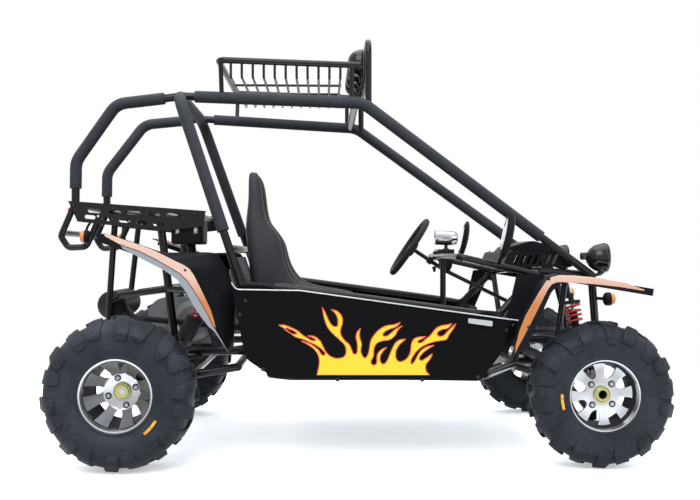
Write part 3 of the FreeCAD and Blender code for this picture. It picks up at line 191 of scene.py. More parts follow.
def rounded(points, radius, steps=8):
    """A route with its corners rounded, as a tube bender leaves them."""
    points = [Vector(p) for p in points]
    route = [points[0]]
    for before, corner, after in zip(points, points[1:], points[2:]):
        a = (before - corner).normalized()
        b = (after - corner).normalized()
        half = a.angle(b) / 2
        shorter = min((before - corner).length, (after - corner).length)
        reach = min(radius / math.tan(half), shorter * 0.49)
        start, end = corner + a * reach, corner + b * reach
        for i in range(steps + 1):
            t = i / steps
            route.append(start * (1 - t) ** 2 + corner * (2 * t * (1 - t)) + end * t ** 2)
    route.append(points[-1])
    return route


def tube(name, points, radius, bend=0, sides=6):
    """A round bar or tube along a route in millimetres."""
    route = rounded(points, bend) if bend else [Vector(p) for p in points]
    curve = bpy.data.curves.new(name, "CURVE")
    curve.dimensions = "3D"
    curve.bevel_depth = radius * MM
    curve.bevel_resolution = sides
    curve.use_fill_caps = True
    line = curve.splines.new("POLY")
    line.points.add(len(route) - 1)
    for spot, place in zip(line.points, route):
        spot.co = (*(place * MM), 1)
    piece = bpy.data.objects.new(name, curve)
    bpy.context.collection.objects.link(piece)
    only(piece)
    bpy.ops.object.convert(target="MESH")
    return in_edit(newest(name), outward)


def brick(name, low, high):
    """A block between two corners in millimetres, to be shaped further."""
    bpy.ops.mesh.primitive_cube_add(size=1, location=(Vector(low) + Vector(high)) / 2 * MM)
    piece = newest(name)
    piece.scale = [(b - a) * MM for a, b in zip(low, high)]
    return settle(piece)


def ball(name, centre, radius, squash=(1, 1, 1), detail=24):
    """A round or oval knob."""
    bpy.ops.mesh.primitive_uv_sphere_add(segments=detail, ring_count=detail // 2, radius=radius * MM,
                                         location=Vector(centre) * MM)
    piece = newest(name)
    piece.scale = squash
    return settle(piece)


def loft(name, sections):
    """A closed body through rings of equal point counts, in millimetres, its ends filled."""
    mesh = bpy.data.meshes.new(name)
    count = len(sections[0])
    points = [Vector(p) * MM for section in sections for p in section]
    faces = [tuple(range(count)), tuple(range(len(points) - count, len(points)))]
    for row in range(0, len(points) - count, count):
        for i in range(count):
            after = (i + 1) % count
            faces.append((row + i, row + after, row + after + count, row + i + count))
    mesh.from_pydata(points, [], faces)
    piece = bpy.data.objects.new(name, mesh)
    bpy.context.collection.objects.link(piece)
    return in_edit(piece, outward)


def cut(piece, cutters):
    """Cut other shapes out of a piece and throw the cutters away."""
    for cutter in cutters:
        modify(piece, "BOOLEAN", object=cutter, operation="DIFFERENCE", solver="EXACT")
        bpy.data.objects.remove(cutter)
    return piece


# %% [markdown]
# ## The camera
# The photograph was taken from the buggy's right side at hip height, a little behind its middle, and
# from four metres away. A long lens would hide how the wheels and the cage grow towards the viewer, so
# place and lens are the ones that were measured from the tyres, hoop and lamps.
# %% Place the camera
CAMERA_PLACE, CAMERA_TURN = (-0.1147, -3.951, 0.778), (math.pi / 2 + 0.005, 0, -0.030)
FOCAL_PIXELS, PHOTO_WIDTH, SENSOR = 918.6, 700, 36
bpy.ops.object.camera_add(location=CAMERA_PLACE, rotation=CAMERA_TURN)
camera = newest("camera")
camera.data.sensor_width = SENSOR
camera.data.lens = FOCAL_PIXELS / PHOTO_WIDTH * SENSOR
bpy.context.scene.camera = camera
print("camera", tuple(camera.location), "lens", round(camera.data.lens, 2))

# %% [markdown]
# ## Floor and outdoor light
# The photograph is a cut-out on white, taken outdoors under a bright hazy sky. The camera sees a white
# floor and world, also in gloss and through glass. What lights the paint is another world: dark along the
# horizon, with a bright, slightly blue sky above it, and a dark ground that throws little light back up.
# That is why the upright panel is nearly black while each tube is paler on top.
# %% Stage and world
bpy.ops.mesh.primitive_plane_add(size=60, location=(0, 0, 0))
floor = newest("studio_floor")


def add_node(tree, kind, settings=(), inputs=()):
    """A shader node: its settings first, then a value or a link for each of its sockets."""
    node = tree.nodes.new(kind)
    for key, value in dict(settings).items():
        setattr(node, key, value)
    for key, value in dict(inputs).items():
        if isinstance(value, bpy.types.NodeSocket):
            tree.links.new(value, node.inputs[key])
        else:
            node.inputs[key].default_value = value
    return node


def background(tree, colour, strength):
    """One even light from all round."""
    inputs = {"Color": (*colour, 1), "Strength": strength}
    return add_node(tree, "ShaderNodeBackground", {}, inputs).outputs[0]


def mixed(tree, share, first, second):
    """A shader between two shaders."""
    return add_node(tree, "ShaderNodeMixShader", {}, {0: share, 1: first, 2: second}).outputs[0]


def fade(tree, value, low, high):
    """A value as 0 to 1 between two limits, with soft ends."""
    return add_node(tree, "ShaderNodeMapRange", {"interpolation_type": "SMOOTHSTEP"},
                    {"Value": value, "From Min": low, "From Max": high}).outputs[0]


def straight_rays(tree):
    """One for rays from the camera, also through glass or off a gloss, else nought."""
    rays = add_node(tree, "ShaderNodeLightPath").outputs
    seen = rays["Is Camera Ray"]
    for kind in ("Is Transmission Ray", "Is Glossy Ray"):
        seen = add_node(tree, "ShaderNodeMath", {"operation": "MAXIMUM"}, {0: seen, 1: rays[kind]}).outputs[0]
    return seen


HAZE = {"horizon": ((0.9, 0.95, 1.0), 0.06), "zenith": ((0.80, 0.90, 1.0), 2.5)}  # colour and strength
HAZE_RISES = (0.05, 0.75)  # height of the direction where the sky starts and ends to brighten
world = bpy.data.worlds.new("outdoors")
bpy.context.scene.world = world
world.use_nodes = True
sky = world.node_tree
sky.nodes.clear()
direction = add_node(sky, "ShaderNodeTexCoord").outputs["Generated"]
height = add_node(sky, "ShaderNodeSeparateXYZ", {}, {0: direction}).outputs["Z"]
outdoors = mixed(sky, fade(sky, height, *HAZE_RISES), background(sky, *HAZE["horizon"]),
                 background(sky, *HAZE["zenith"]))
seen_sky = mixed(sky, straight_rays(sky), outdoors, background(sky, (1, 1, 1), 1.0))
add_node(sky, "ShaderNodeOutputWorld", {}, {0: seen_sky})

SHADOW_ENDS = (1.6, 3.2)  # metres from the middle over which the floor fades to plain white
FLOOR_LIFT = 0.42  # light that the floor gives off, so that its shadow stays pale
ground = bpy.data.materials.new("studio_floor")
ground.use_nodes = True
tree = ground.node_tree
paper = tree.nodes["Principled BSDF"]
for key, value in (("Base Color", (0.92, 0.92, 0.92, 1)), ("Roughness", 0.75), ("Specular IOR Level", 0.1)):
    paper.inputs[key].default_value = value
tarmac = add_node(tree, "ShaderNodeBsdfDiffuse", {}, {"Color": (0.16, 0.16, 0.17, 1)}).outputs[0]
lift, white = [add_node(tree, "ShaderNodeEmission", {}, {"Strength": strength}).outputs[0]
               for strength in (FLOOR_LIFT, 1.0)]
lifted = add_node(tree, "ShaderNodeAddShader", {}, {0: paper.outputs[0], 1: lift}).outputs[0]
place = add_node(tree, "ShaderNodeTexCoord").outputs["Object"]
distance = add_node(tree, "ShaderNodeVectorMath", {"operation": "LENGTH"}, {0: place}).outputs["Value"]
seen_floor = mixed(tree, fade(tree, distance, *SHADOW_ENDS), lifted, white)
tree.links.new(mixed(tree, straight_rays(tree), tarmac, seen_floor),
               tree.nodes["Material Output"].inputs["Surface"])
floor.data.materials.append(ground)
print("stage and sky")

# %% [markdown]
# ## Lamps
# A wide lamp before the buggy stands for the sun behind haze, another hangs above it, and a weak one
# fills the nose.
# %% Three soft lamps
# name, place, turn in degrees, size and power in watts
SOFT_LAMPS = (("key_lamp", (-1.2, -3.6, 4.2), (38, 0, -16), 3.2, 150),
              ("top_lamp", (0.6, 0.3, 4.6), (0, 0, 0), 4.0, 110),
              ("front_fill", (2.8, -3.4, 1.6), (72, 0, 40), 2.4, 20))
for name, place, turn, size, power in SOFT_LAMPS:
    bpy.ops.object.light_add(type="AREA", location=place, rotation=[math.radians(a) for a in turn])
    lamp = newest(name)
    lamp.data.shape = "SQUARE"
    lamp.data.size = size
    lamp.data.energy = power
bpy.context.scene.view_settings.view_transform = "Standard"
print("lamps", [light.name for light in bpy.data.lights])

# %% [markdown]
# ## Shader sums as plain expressions
# A finish is mostly small sums: noise times strength plus a base. `Value` wraps a shader socket so that
# such a sum can be written with + and *, and `Finish` builds one material and hands out its nodes.
# %% The two shader helpers
class Value:
    """One shader number that can be used in an expression."""

    def __init__(self, finish, socket):
        self.finish = finish
        self.socket = socket

    def maths(self, operation, other):
        node = self.finish.add("ShaderNodeMath", {"operation": operation}, {0: self, 1: other})
        return Value(self.finish, node.outputs[0])

    def __add__(self, other):
        return self.maths("ADD", other)

    def __mul__(self, other):
        return self.maths("MULTIPLY", other)

    def fit(self, low, high):
        """This value from low to high, as 0 to 1, with both ends held."""
        node = self.finish.add("ShaderNodeMapRange", {"clamp": True},
                               {"Value": self, "From Min": low, "From Max": high})
        return Value(self.finish, node.outputs["Result"])


class Finish:
    """One procedural material."""

    def __init__(self, name, colour, roughness, metallic=0.0, coat=0.0, specular=0.5, sheen=0.0):
        self.material = bpy.data.materials.new(name)
        self.material.use_nodes = True
        self.tree = self.material.node_tree
        self.shader = self.tree.nodes["Principled BSDF"]
        for key, value in (("Base Color", (*colour, 1)), ("Roughness", roughness), ("Metallic", metallic),
                           ("Coat Weight", coat), ("Specular IOR Level", specular), ("Sheen Weight", sheen)):
            self.shader.inputs[key].default_value = value
        self.shader.inputs["Coat Roughness"].default_value = 0.04
        self.place = self.out("ShaderNodeTexCoord", {}, {}, "Object")

    def add(self, kind, settings, inputs):
        """A node; a Value among its inputs stands for its socket."""
        return add_node(self.tree, kind, settings, {k: getattr(v, "socket", v) for k, v in inputs.items()})

    def out(self, kind, settings, inputs, name=0):
        return self.add(kind, settings, inputs).outputs[name]

    def noise(self, scale, detail=3.0, roughness=0.55, stretch=None):
        """A noise value; stretch gives it a grain along one direction."""
        spot = self.place
        if stretch:
            spot = self.out("ShaderNodeMapping", {}, {"Vector": spot, "Scale": stretch})
        inputs = {"Vector": spot, "Scale": scale, "Detail": detail, "Roughness": roughness}
        return Value(self, self.out("ShaderNodeTexNoise", {}, inputs))

    def cells(self, scale, feature="F1"):
        """The distance to the nearest of many scattered points."""
        inputs = {"Vector": self.place, "Scale": scale}
        return Value(self, self.out("ShaderNodeTexVoronoi", {"feature": feature}, inputs, "Distance"))

    def height(self):
        """How high a point of the piece lies."""
        return Value(self, self.out("ShaderNodeSeparateXYZ", {}, {0: self.place}, 2))

    def mix(self, share, first, second):
        """A colour between two colours."""
        inputs = {0: share, 6: (*first, 1), 7: (*second, 1)}
        return self.out("ShaderNodeMix", {"data_type": "RGBA"}, inputs, 2)

    def link(self, socket, name):
        """Link a socket to the shader; the finish comes back, so that calls can follow each other."""
        self.tree.links.new(socket, self.shader.inputs[name])
        return self

    def colour(self, value):
        return self.link(value, "Base Color")

    def gloss(self, value):
        return self.link(value.socket, "Roughness")

    def bump(self, height, depth=0.001, strength=0.5):
        node = self.add("ShaderNodeBump", {}, {"Strength": strength, "Distance": depth, "Height": height})
        return self.link(node.outputs[0], "Normal")

    def on(self, *pieces):
        """Give this finish to pieces."""
        for piece in pieces:
            piece.data.materials.clear()
            piece.data.materials.append(self.material)
        return self


# %% [markdown]
# ## Black in eight different finishes
# Nearly all of the buggy is black, so it only reads when the blacks differ: glossy powder coat on the
# tubes, open-pored foam on the cage pads, mottled blue-black rubber, grained moulding on the fenders,
# leatherette on the seats and soft grip foam on the wheel.
# %% The black finishes
frame_paint = Finish("frame_paint", (0.008, 0.008, 0.009), 0.24, coat=0.06, specular=0.22)
speckle = frame_paint.noise(900, 2)
frame_paint.gloss(frame_paint.noise(14, 4) * 0.16 + 0.14).bump(speckle, 0.0004, 0.25)

panel_paint = Finish("panel_paint", (0.004, 0.004, 0.005), 0.12, coat=0.02, specular=0.06)
panel_paint.gloss(panel_paint.noise(9, 3) * 0.08 + 0.07).bump(panel_paint.noise(240, 2), 0.0003, 0.15)

cage_foam = Finish("cage_foam", (0.030, 0.032, 0.038), 0.72, specular=0.15, sheen=0.06)
pores = cage_foam.cells(520)
cage_foam.colour(cage_foam.mix(cage_foam.noise(26, 4), (0.020, 0.021, 0.024), (0.042, 0.045, 0.052)))
cage_foam.gloss(cage_foam.noise(60, 3) * 0.2 + 0.58).bump(pores, 0.0006, 0.35)

tyre_rubber = Finish("tyre_rubber", (0.030, 0.033, 0.040), 0.62, specular=0.16)
mottle = tyre_rubber.noise(11, 5, 0.62)
tyre_rubber.colour(tyre_rubber.mix(mottle.fit(0.3, 0.72), (0.013, 0.0145, 0.0175), (0.034, 0.0385, 0.047)))
tyre_rubber.gloss(tyre_rubber.noise(30, 4) * 0.25 + 0.46)
tyre_rubber.bump(tyre_rubber.noise(420, 3) * 0.6 + tyre_rubber.noise(60, 2), 0.0012, 0.35)

moulding = Finish("moulding", (0.008, 0.008, 0.010), 0.42, specular=0.08)
moulding.gloss(moulding.noise(35, 3) * 0.2 + 0.3).bump(moulding.cells(700), 0.0005, 0.3)

leatherette = Finish("leatherette", (0.014, 0.015, 0.018), 0.4, specular=0.28)
creases = leatherette.cells(310, "DISTANCE_TO_EDGE")
leatherette.gloss(leatherette.noise(24, 3) * 0.16 + 0.3)
leatherette.bump(creases.fit(0, 0.12) + leatherette.noise(34, 3) * 0.6, 0.0008, 0.4)

wall_plastic = Finish("wall_plastic", (0.005, 0.005, 0.006), 0.34, specular=0.05)
wall_plastic.gloss(wall_plastic.noise(18, 4) * 0.2 + 0.24).bump(wall_plastic.noise(90, 3), 0.0006, 0.3)

grip_foam = Finish("grip_foam", (0.016, 0.016, 0.018), 0.6, specular=0.12, sheen=0.05)
grip_foam.bump(grip_foam.cells(650), 0.0006, 0.4)
print("black finishes", 8)

# %% [markdown]
# ## Bare and plated metal
# The wheel discs are bright alloy whose roughness has a fine grain. Zinc plating is a soft yellow-green on
# the hubs, and nuts and clips are plain plated steel. Castings of the engine are dull and slightly grainy.
# %% Metal finishes
bright_alloy = Finish("bright_alloy", (0.42, 0.425, 0.44), 0.3, metallic=1.0)
bright_alloy.gloss(bright_alloy.noise(40, 3, stretch=(1, 9, 1)) * 0.22 + 0.2)
bright_alloy.bump(bright_alloy.noise(700, 2), 0.0002, 0.2)

steel = Finish("plated_steel", (0.42, 0.42, 0.43), 0.36, metallic=1.0)
steel.gloss(steel.noise(80, 3) * 0.25 + 0.25).bump(steel.noise(500, 2), 0.0003, 0.25)

zinc_gold = Finish("zinc_gold", (0.42, 0.36, 0.16), 0.34, metallic=0.9)
tarnish = zinc_gold.noise(30, 3).fit(0.3, 0.7)
zinc_gold.colour(zinc_gold.mix(tarnish, (0.46, 0.36, 0.13), (0.30, 0.36, 0.16)))
zinc_gold.gloss(zinc_gold.noise(90, 2) * 0.2 + 0.24)

cast_alloy = Finish("cast_alloy", (0.20, 0.205, 0.21), 0.5, metallic=0.85)
cast_alloy.gloss(cast_alloy.noise(50, 3) * 0.2 + 0.4).bump(cast_alloy.noise(380, 3), 0.0008, 0.45)

engine_black = Finish("engine_black", (0.014, 0.014, 0.015), 0.5, metallic=0.1, specular=0.15)
engine_black.gloss(engine_black.noise(40, 3) * 0.2 + 0.38).bump(engine_black.noise(420, 3), 0.0008, 0.4)

chrome = Finish("chrome", (0.56, 0.56, 0.59), 0.1, metallic=1.0)
chrome.gloss(chrome.noise(60, 2) * 0.06 + 0.05)

tread_sheet = Finish("tread_sheet", (0.42, 0.43, 0.44), 0.36, metallic=1.0)
tread_sheet.gloss(tread_sheet.noise(60, 3) * 0.2 + 0.28)
tread_sheet.bump(tread_sheet.cells(90).fit(0.1, 0.3), 0.002, 0.5)
print("metal finishes", 7)

# %% [markdown]
# ## Colours
# The springs are red enamel. The stripe along the fenders is orange on the falling part, and on its top a
# pale peach painted highlight is mixed into the colour, where the sky would light it. Lamp lenses are tinted
# plastic: amber for turning, red for the tail.
# %% Coloured finishes
spring_red = Finish("spring_red", (0.55, 0.012, 0.030), 0.3, coat=0.3)
spring_red.gloss(spring_red.noise(70, 2) * 0.15 + 0.24)

stripe_orange = Finish("stripe_orange", (0.62, 0.24, 0.07), 0.32, coat=0.3)
# painted highlight: from 0.60 to 0.70 m up, the stripe's colour turns pale peach, where its top would catch
# the sky
painted_sky_highlight = stripe_orange.height().fit(0.60, 0.70)
stripe_orange.colour(stripe_orange.mix(painted_sky_highlight, (0.56, 0.19, 0.045), (0.76, 0.50, 0.38)))

stripe_line = Finish("stripe_line", (0.20, 0.03, 0.02), 0.34, coat=0.2)
stripe_line.gloss(stripe_line.noise(60, 2) * 0.2 + 0.26)

under_silver = Finish("under_silver", (0.30, 0.32, 0.34), 0.36, metallic=0.3)
under_silver.gloss(under_silver.noise(60, 2) * 0.2 + 0.3)

amber_lens = Finish("amber_lens", (0.86, 0.22, 0.02), 0.16, coat=0.4)
amber_lens.bump(amber_lens.cells(420), 0.0006, 0.5)

red_lens = Finish("red_lens", (0.60, 0.02, 0.015), 0.16, coat=0.4)
red_lens.bump(red_lens.cells(420), 0.0006, 0.5)

mirror_glass = Finish("mirror_glass", (0.85, 0.88, 0.90), 0.03, metallic=1.0)
mirror_glass.gloss(mirror_glass.noise(20, 2) * 0.03 + 0.02)

sticker = Finish("tyre_sticker", (0.90, 0.42, 0.03), 0.4)
sticker.colour(sticker.mix(sticker.noise(140, 1).fit(0.5, 0.62), (0.90, 0.50, 0.04), (0.75, 0.18, 0.03)))
sticker.bump(sticker.noise(300, 2), 0.0002, 0.2)

# grey of the pale reflectors, also used as the colour of the panels' painted highlight line
highlight_and_reflector_grey = Finish("highlight_and_reflector_grey", (0.50, 0.51, 0.52), 0.3, metallic=0.4)
highlight_and_reflector_grey.gloss(highlight_and_reflector_grey.noise(50, 2) * 0.15 + 0.24)
print("coloured finishes", 9)

# %% [markdown]
# ## Wheels
# An off-road tyre is a round carcass with thick rubber blocks along both shoulders. The carcass is a
# spun profile. A long and a short block are modelled, bent over the shoulder, and copied round the tyre
# in turn, with the far side half a step behind. The blocks overlap the carcass, as they are one moulding
# on the real tyre.
# %% Sizes of the four wheels
# count of blocks a row; bead: its place as a share of the half width; shoulder: insets of the carcass from
# the edge of the tread; windows and nuts: their first angle in degrees; cap_hole: radius in the centre cap
REAR = {"x": -845, "z": 279, "track": 590, "radius": 279, "width": 254, "count": 18,
        "bead": 0.80, "shoulder": (24, 42, 64), "windows": 6, "nuts": 17.5, "cap_hole": 9}
FRONT = {"x": 905, "z": 268, "track": 597, "radius": 268, "width": 178, "count": 18,
         "bead": 0.82, "shoulder": (17, 29, 45), "windows": 18, "nuts": 47, "cap_hole": 15}
BEAD = 131
BLOCK_HEIGHT = 14
FIRST_LUG = -29  # millimetres round the tyre from its top


def wheel_centre(wheel, side):
    """The middle of a wheel on the left (side 1) or the right (side -1)."""
    return Vector((wheel["x"], side * wheel["track"], wheel["z"]))


# %% One tread block
# start as a share of the half width, slant round the tyre, length of the skirt, place of the first block
LUGS = {"long": (0.06, 26, 78, 0), "short": (0.30, -20, 66, 1)}
LUG_SOFT = 3


def lug(name, wheel, start, slant, skirt):
    """One tread block at the top of the tyre, from the crown over the shoulder and down the (-Y) side."""
    half, top = wheel["width"] / 2, wheel["radius"]
    # share of the half width, drop below the crown, inset and drop of the root, half length round the tyre
    stations = [
        (start, 0, 0, 17, 15), (start + 0.22, 3, 0, 20, 22), (0.62, 12, 3, 29, 27), (0.80, 24, 10, 42, 29),
        (0.92, 38, 14, 54, 28), (1.0, 54, 15, 64, 27), (0.995, skirt, 14, skirt + 6, 22)]
    root_grows = 3
    sections = []
    for share, drop, inset, root_drop, reach in stations:
        ring = []
        root_reach = reach + root_grows
        for out, fall, length in ((0, drop, -reach), (0, drop, reach),
                                  (inset, root_drop, root_reach), (inset, root_drop, -root_reach)):
            round_by = (length + (share - 0.5) * slant) / top
            level = top - fall
            ring.append((level * math.sin(round_by), out - share * half, level * math.cos(round_by)))
        sections.append(ring)
    block = loft(name, sections)
    end_below, end_inset, end_sunk = top - 56, 5, 2
    on_faces(block, lambda face: face.normal.y < -0.95 and face.center.z < end_below * MM,
             lambda: bpy.ops.mesh.inset(thickness=end_inset * MM, depth=-end_sunk * MM))
    return soften(block, LUG_SOFT * MM, 3)


# %% The carcass and the whole tyre
def carcass_profile(wheel):
    """Profile points (radius, distance) from one bead over the crown to the other."""
    half = wheel["width"] / 2
    top = wheel["radius"] - BLOCK_HEIGHT
    rim = half * wheel["bead"]
    shoulder, upper, crown = wheel["shoulder"]
    side = [(BEAD - 3, rim - 10), (BEAD - 1, rim), (BEAD + 7, rim + 3), (BEAD + 11, rim + 1),
            (BEAD + 17, rim + 3), (BEAD + 30, half - 13), (BEAD + 48, half - 8), (BEAD + 66, half - 7),
            (BEAD + 84, half - 9), (top - 34, half - 13), (top - 18, half - shoulder),
            (top - 7, half - upper), (top - 2, half - crown), (top, half * 0.25)]
    return side + [(r, -h) for r, h in reversed(side)]


def make_tyre(name, wheel, side):
    """One lugged tyre, on the left (side 1) or the right (side -1)."""
    profile = carcass_profile(wheel)
    carcass = turned(name + "_carcass", profile + [profile[0]], (0, 0, 0), (0, 1, 0), 72)
    blocks = []
    step = math.tau / wheel["count"]
    for start, slant, skirt, first in LUGS.values():
        block = lug(name + "_lug", wheel, start, slant, skirt)
        twin = copy_of(block, name + "_lug_far", Matrix.Rotation(math.pi, 4, "Z"))
        for index in range(first, wheel["count"], 2):
            for source, late in ((block, 0.5), (twin, 0)):
                turn = Matrix.Rotation((index + late) * step + FIRST_LUG / wheel["radius"], 4, "Y")
                blocks.append(copy_of(source, name + "_block", turn))
        bpy.data.objects.remove(block)
        bpy.data.objects.remove(twin)
    tyre = join(name, [carcass] + blocks)
    tyre.data.transform(Matrix.Translation(wheel_centre(wheel, side) * MM))
    return smooth(tyre, 32)


# %% Make the tyres
for side, word in ((1, "left"), (-1, "right")):
    for wheel, place, body in ((FRONT, "front", "front_wheel_" + word), (REAR, "rear", "rear_wheels")):
        node = place + "_tyre_" + word
        tyre = make_tyre("tread_" + place + "_" + word, wheel, side)
        tyre_rubber.on(tyre)
        carry(body, "tyre_rubber", tyre)
        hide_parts(node)
        print(tyre.name, "triangles", sum(len(f.vertices) - 2 for f in tyre.data.polygons))

# %% [markdown]
# ## Alloy rims
# The rear disc sits deep in the wheel and rises as a cone to the lip, the front one is almost flat. Both
# are spun profiles with eight windows cut out. The barrel behind them is dark inside, and the turned lip
# is the brightest ring of the wheel.
# %% Rim shapes
RIM_REAR = {"half": 98, "face": [(20, -16), (60, -16), (69, -11), (121, 72), (126, 80)],
            "window": (66, 119, 12, 19), "back": 11}
RIM_FRONT = {"half": 66, "face": [(20, 27), (58, 27), (64, 25), (112, 26), (124, 38)],
             "window": (62, 113, 14, 21), "back": 10}
WINDOWS, NUTS, NUT_CIRCLE = 8, 4, 52
WINDOW_FOOT = (0.35, 0.8, 1.2, 1.57, 1.94, 2.34, 2.79)  # angles of the points of a window's round end


def seen_angle(degrees, side):
    """An angle measured on the right-hand wheel, mirrored for the left one."""
    return math.radians(degrees if side < 0 else 180 - degrees)


def make_rim(name, wheel, rim, side):
    """The lip, barrel and windowed disc of one wheel, with its outer face towards side."""
    half = rim["half"]
    # the disc: face profile, then back along the same line, a wall deeper
    face = rim["face"]
    behind = [(r, h - rim["back"]) for r, h in reversed(face)]
    disc = turned(name + "_disc", face + behind + [face[0]], (0, 0, 0), (0, side, 0), 96)
    low, high, thin, wide = rim["window"]
    cutters = []
    mid = low + thin
    corners = [(high, -wide), (high, wide), (high - 10, wide), (mid, thin + 2)]
    corners += [(mid - thin * math.sin(turn), thin * math.cos(turn)) for turn in WINDOW_FOOT]
    corners += [(mid, -thin - 2), (high - 10, -wide)]
    for index in range(WINDOWS):
        cutter = plate(name + "_window", corners, -160, 160)
        turn = math.tau * index / WINDOWS - seen_angle(wheel["windows"], -side)
        cutter.data.transform(Matrix.Rotation(turn, 4, "Y"))
        cutters.append(cutter)
    cut(disc, cutters)
    soften(disc, 2.0 * MM, 2, 30)
    lip_line = [(BEAD - 9, half - 22), (BEAD - 6, half + 2), (BEAD, half + 4), (BEAD + 2, half + 1),
                (BEAD - 2, half - 8), (BEAD - 4, half - 20), (BEAD - 9, half - 22)]
    barrel_line = [(BEAD - 10, half - 23), (BEAD - 4, half - 21), (BEAD - 20, 20), (BEAD - 20, -half + 20),
                   (BEAD - 4, -half + 20), (BEAD, -half), (BEAD - 6, -half), (BEAD - 24, -half + 24),
                   (BEAD - 24, 16), (BEAD - 10, half - 23)]
    lip, barrel = [turned(word + name, line, (0, 0, 0), (0, side, 0), 96)
                   for word, line in (("lip_", lip_line), ("barrel_", barrel_line))]
    centre = Matrix.Translation(wheel_centre(wheel, side) * MM)
    rim_piece = join(name, [disc, lip])
    rim_piece.data.transform(centre)
    barrel.data.transform(centre)
    return smooth(rim_piece, 30), smooth(barrel, 30)


def nuts_and_cap(name, wheel, rim, side):
    """Four wheel nuts in their dark seats and the stepped centre cap."""
    middle = wheel_centre(wheel, side) + Vector((0, side * rim["face"][0][1], 0))
    outwards = (0, side, 0)
    nut_seat = [(6.5, 1.2), (11, 2), (12.5, 0.6), (12.5, -2), (6.5, -2), (6.5, 1.2)]
    nut = [(0, 7), (3.5, 6.6), (6.2, 4), (8, 3.6), (8.3, 0), (0, 0)]
    seats, nuts = [], []
    for index in range(NUTS):
        angle = math.tau * index / NUTS + seen_angle(wheel["nuts"], side)
        spot = middle + Vector((math.cos(angle), 0, math.sin(angle))) * NUT_CIRCLE
        seats.append(turned(name + "_seat", nut_seat, spot, outwards, 24))
        nuts.append(turned(name + "_nut", nut, spot, outwards, 6))
    hole = wheel["cap_hole"]
    ring = [(hole, 7), (hole + 1.5, 12), (24, 12), (27, 9), (30, 9), (31, 4), (31, -4), (hole, -4), (hole, 7)]
    core = [(0, 6), (hole - 4, 6), (hole, 3), (hole, -4), (0, -4)]
    cap = turned(name + "_cap", ring, middle, outwards, 48)
    seats.append(turned(name + "_core", core, middle, outwards, 32))
    return join(name + "_seats", seats), join(name + "_nuts", nuts), smooth(cap, 30)


# %% Make the rims
for side, word in ((1, "left"), (-1, "right")):
    for wheel, rim, place, body in ((FRONT, RIM_FRONT, "front", "front_wheel_" + word),
                                    (REAR, RIM_REAR, "rear", "rear_wheels")):
        disc, barrel = make_rim("alloy_" + place + "_" + word, wheel, rim, side)
        seats, nuts, cap = nuts_and_cap("hub_" + place + "_" + word, wheel, rim, side)
        bright_alloy.on(disc)
        engine_black.on(seats, barrel)
        steel.on(nuts)
        zinc_gold.on(cap)
        carry(body, "wheel_alloy", disc, barrel, seats, nuts, cap)
        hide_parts(place + "_rim_" + word)
        print(disc.name, "faces", len(disc.data.polygons))

# %% [markdown]
# ## Foam sleeves on the cage
# Every tube of the cage near the heads is wrapped in a slit foam sleeve. Each sleeve is a thicker tube
# round the CAD tube's own line, trimmed short of the joints so that the glossy steel shows there, with
# softly rounded ends.
# %% Routes of the cage tubes and their sleeves
SLEEVE = 23.5
HOOP_FOOT, HOOP_TOP = Vector((-307, 509, 332)), Vector((-678, 360, 1404))


def trimmed(route, skip, keep):
    """The stretch of a route from skip to keep millimetres along it."""
    out, run = [], 0.0
    for a, b in zip(route, route[1:]):
        length = (b - a).length
        for edge in (skip, keep):
            if run <= edge < run + length:
                out.append(a.lerp(b, (edge - run) / length))
        if skip < run + length < keep:
            out.append(b)
        run += length
    if keep >= run:
        out.append(route[-1])
    return out


def run_of(route):
    """The length of a route."""
    return sum((b - a).length for a, b in zip(route, route[1:]))


def sleeve(name, route, skip, short):
    """A foam sleeve along a route, starting skip along it and ending short of its end."""
    path = trimmed(route, skip, run_of(route) - short)
    foam = tube(name, path, SLEEVE, sides=10)
    soften(foam, 5 * MM, 3, 60)
    return smooth(foam, 50)


def mirror_route(route):
    """The same route on the right of the buggy."""
    return [Vector((p.x, -p.y, p.z)) for p in route]


def on_hoop(height):
    """The point of the left hoop leg at a height in millimetres."""
    return HOOP_FOOT.lerp(HOOP_TOP, (height - HOOP_FOOT.z) / (HOOP_TOP.z - HOOP_FOOT.z))


hoop_start = on_hoop(869)
hoop_route = rounded([hoop_start, HOOP_TOP] + mirror_route([HOOP_TOP, hoop_start]), 110)
rail_route = rounded([(-678, 307, 1404), (44, 367, 1370), (963, 300, 696)], 110)
stay_route = rounded([(-678, 307, 1402), (-929, 290, 1374), (-1095, 265, 1148), (-1097, 265, 975)], 85)
sleeves = [sleeve("sleeve_hoop", hoop_route, 0, 0)]
for word, routes in (("left", (rail_route, stay_route)),
                     ("right", (mirror_route(rail_route), mirror_route(stay_route)))):
    sleeves.append(sleeve("sleeve_rail_" + word, routes[0], 62, 258))
    sleeves.append(sleeve("sleeve_stay_" + word, routes[1], 62, 66))
cage_foam.on(*sleeves)
carry("chassis", "cage_foam", *sleeves)
for piece in sleeves:
    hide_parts("cage_pads")
print("sleeves", [p.name for p in sleeves])
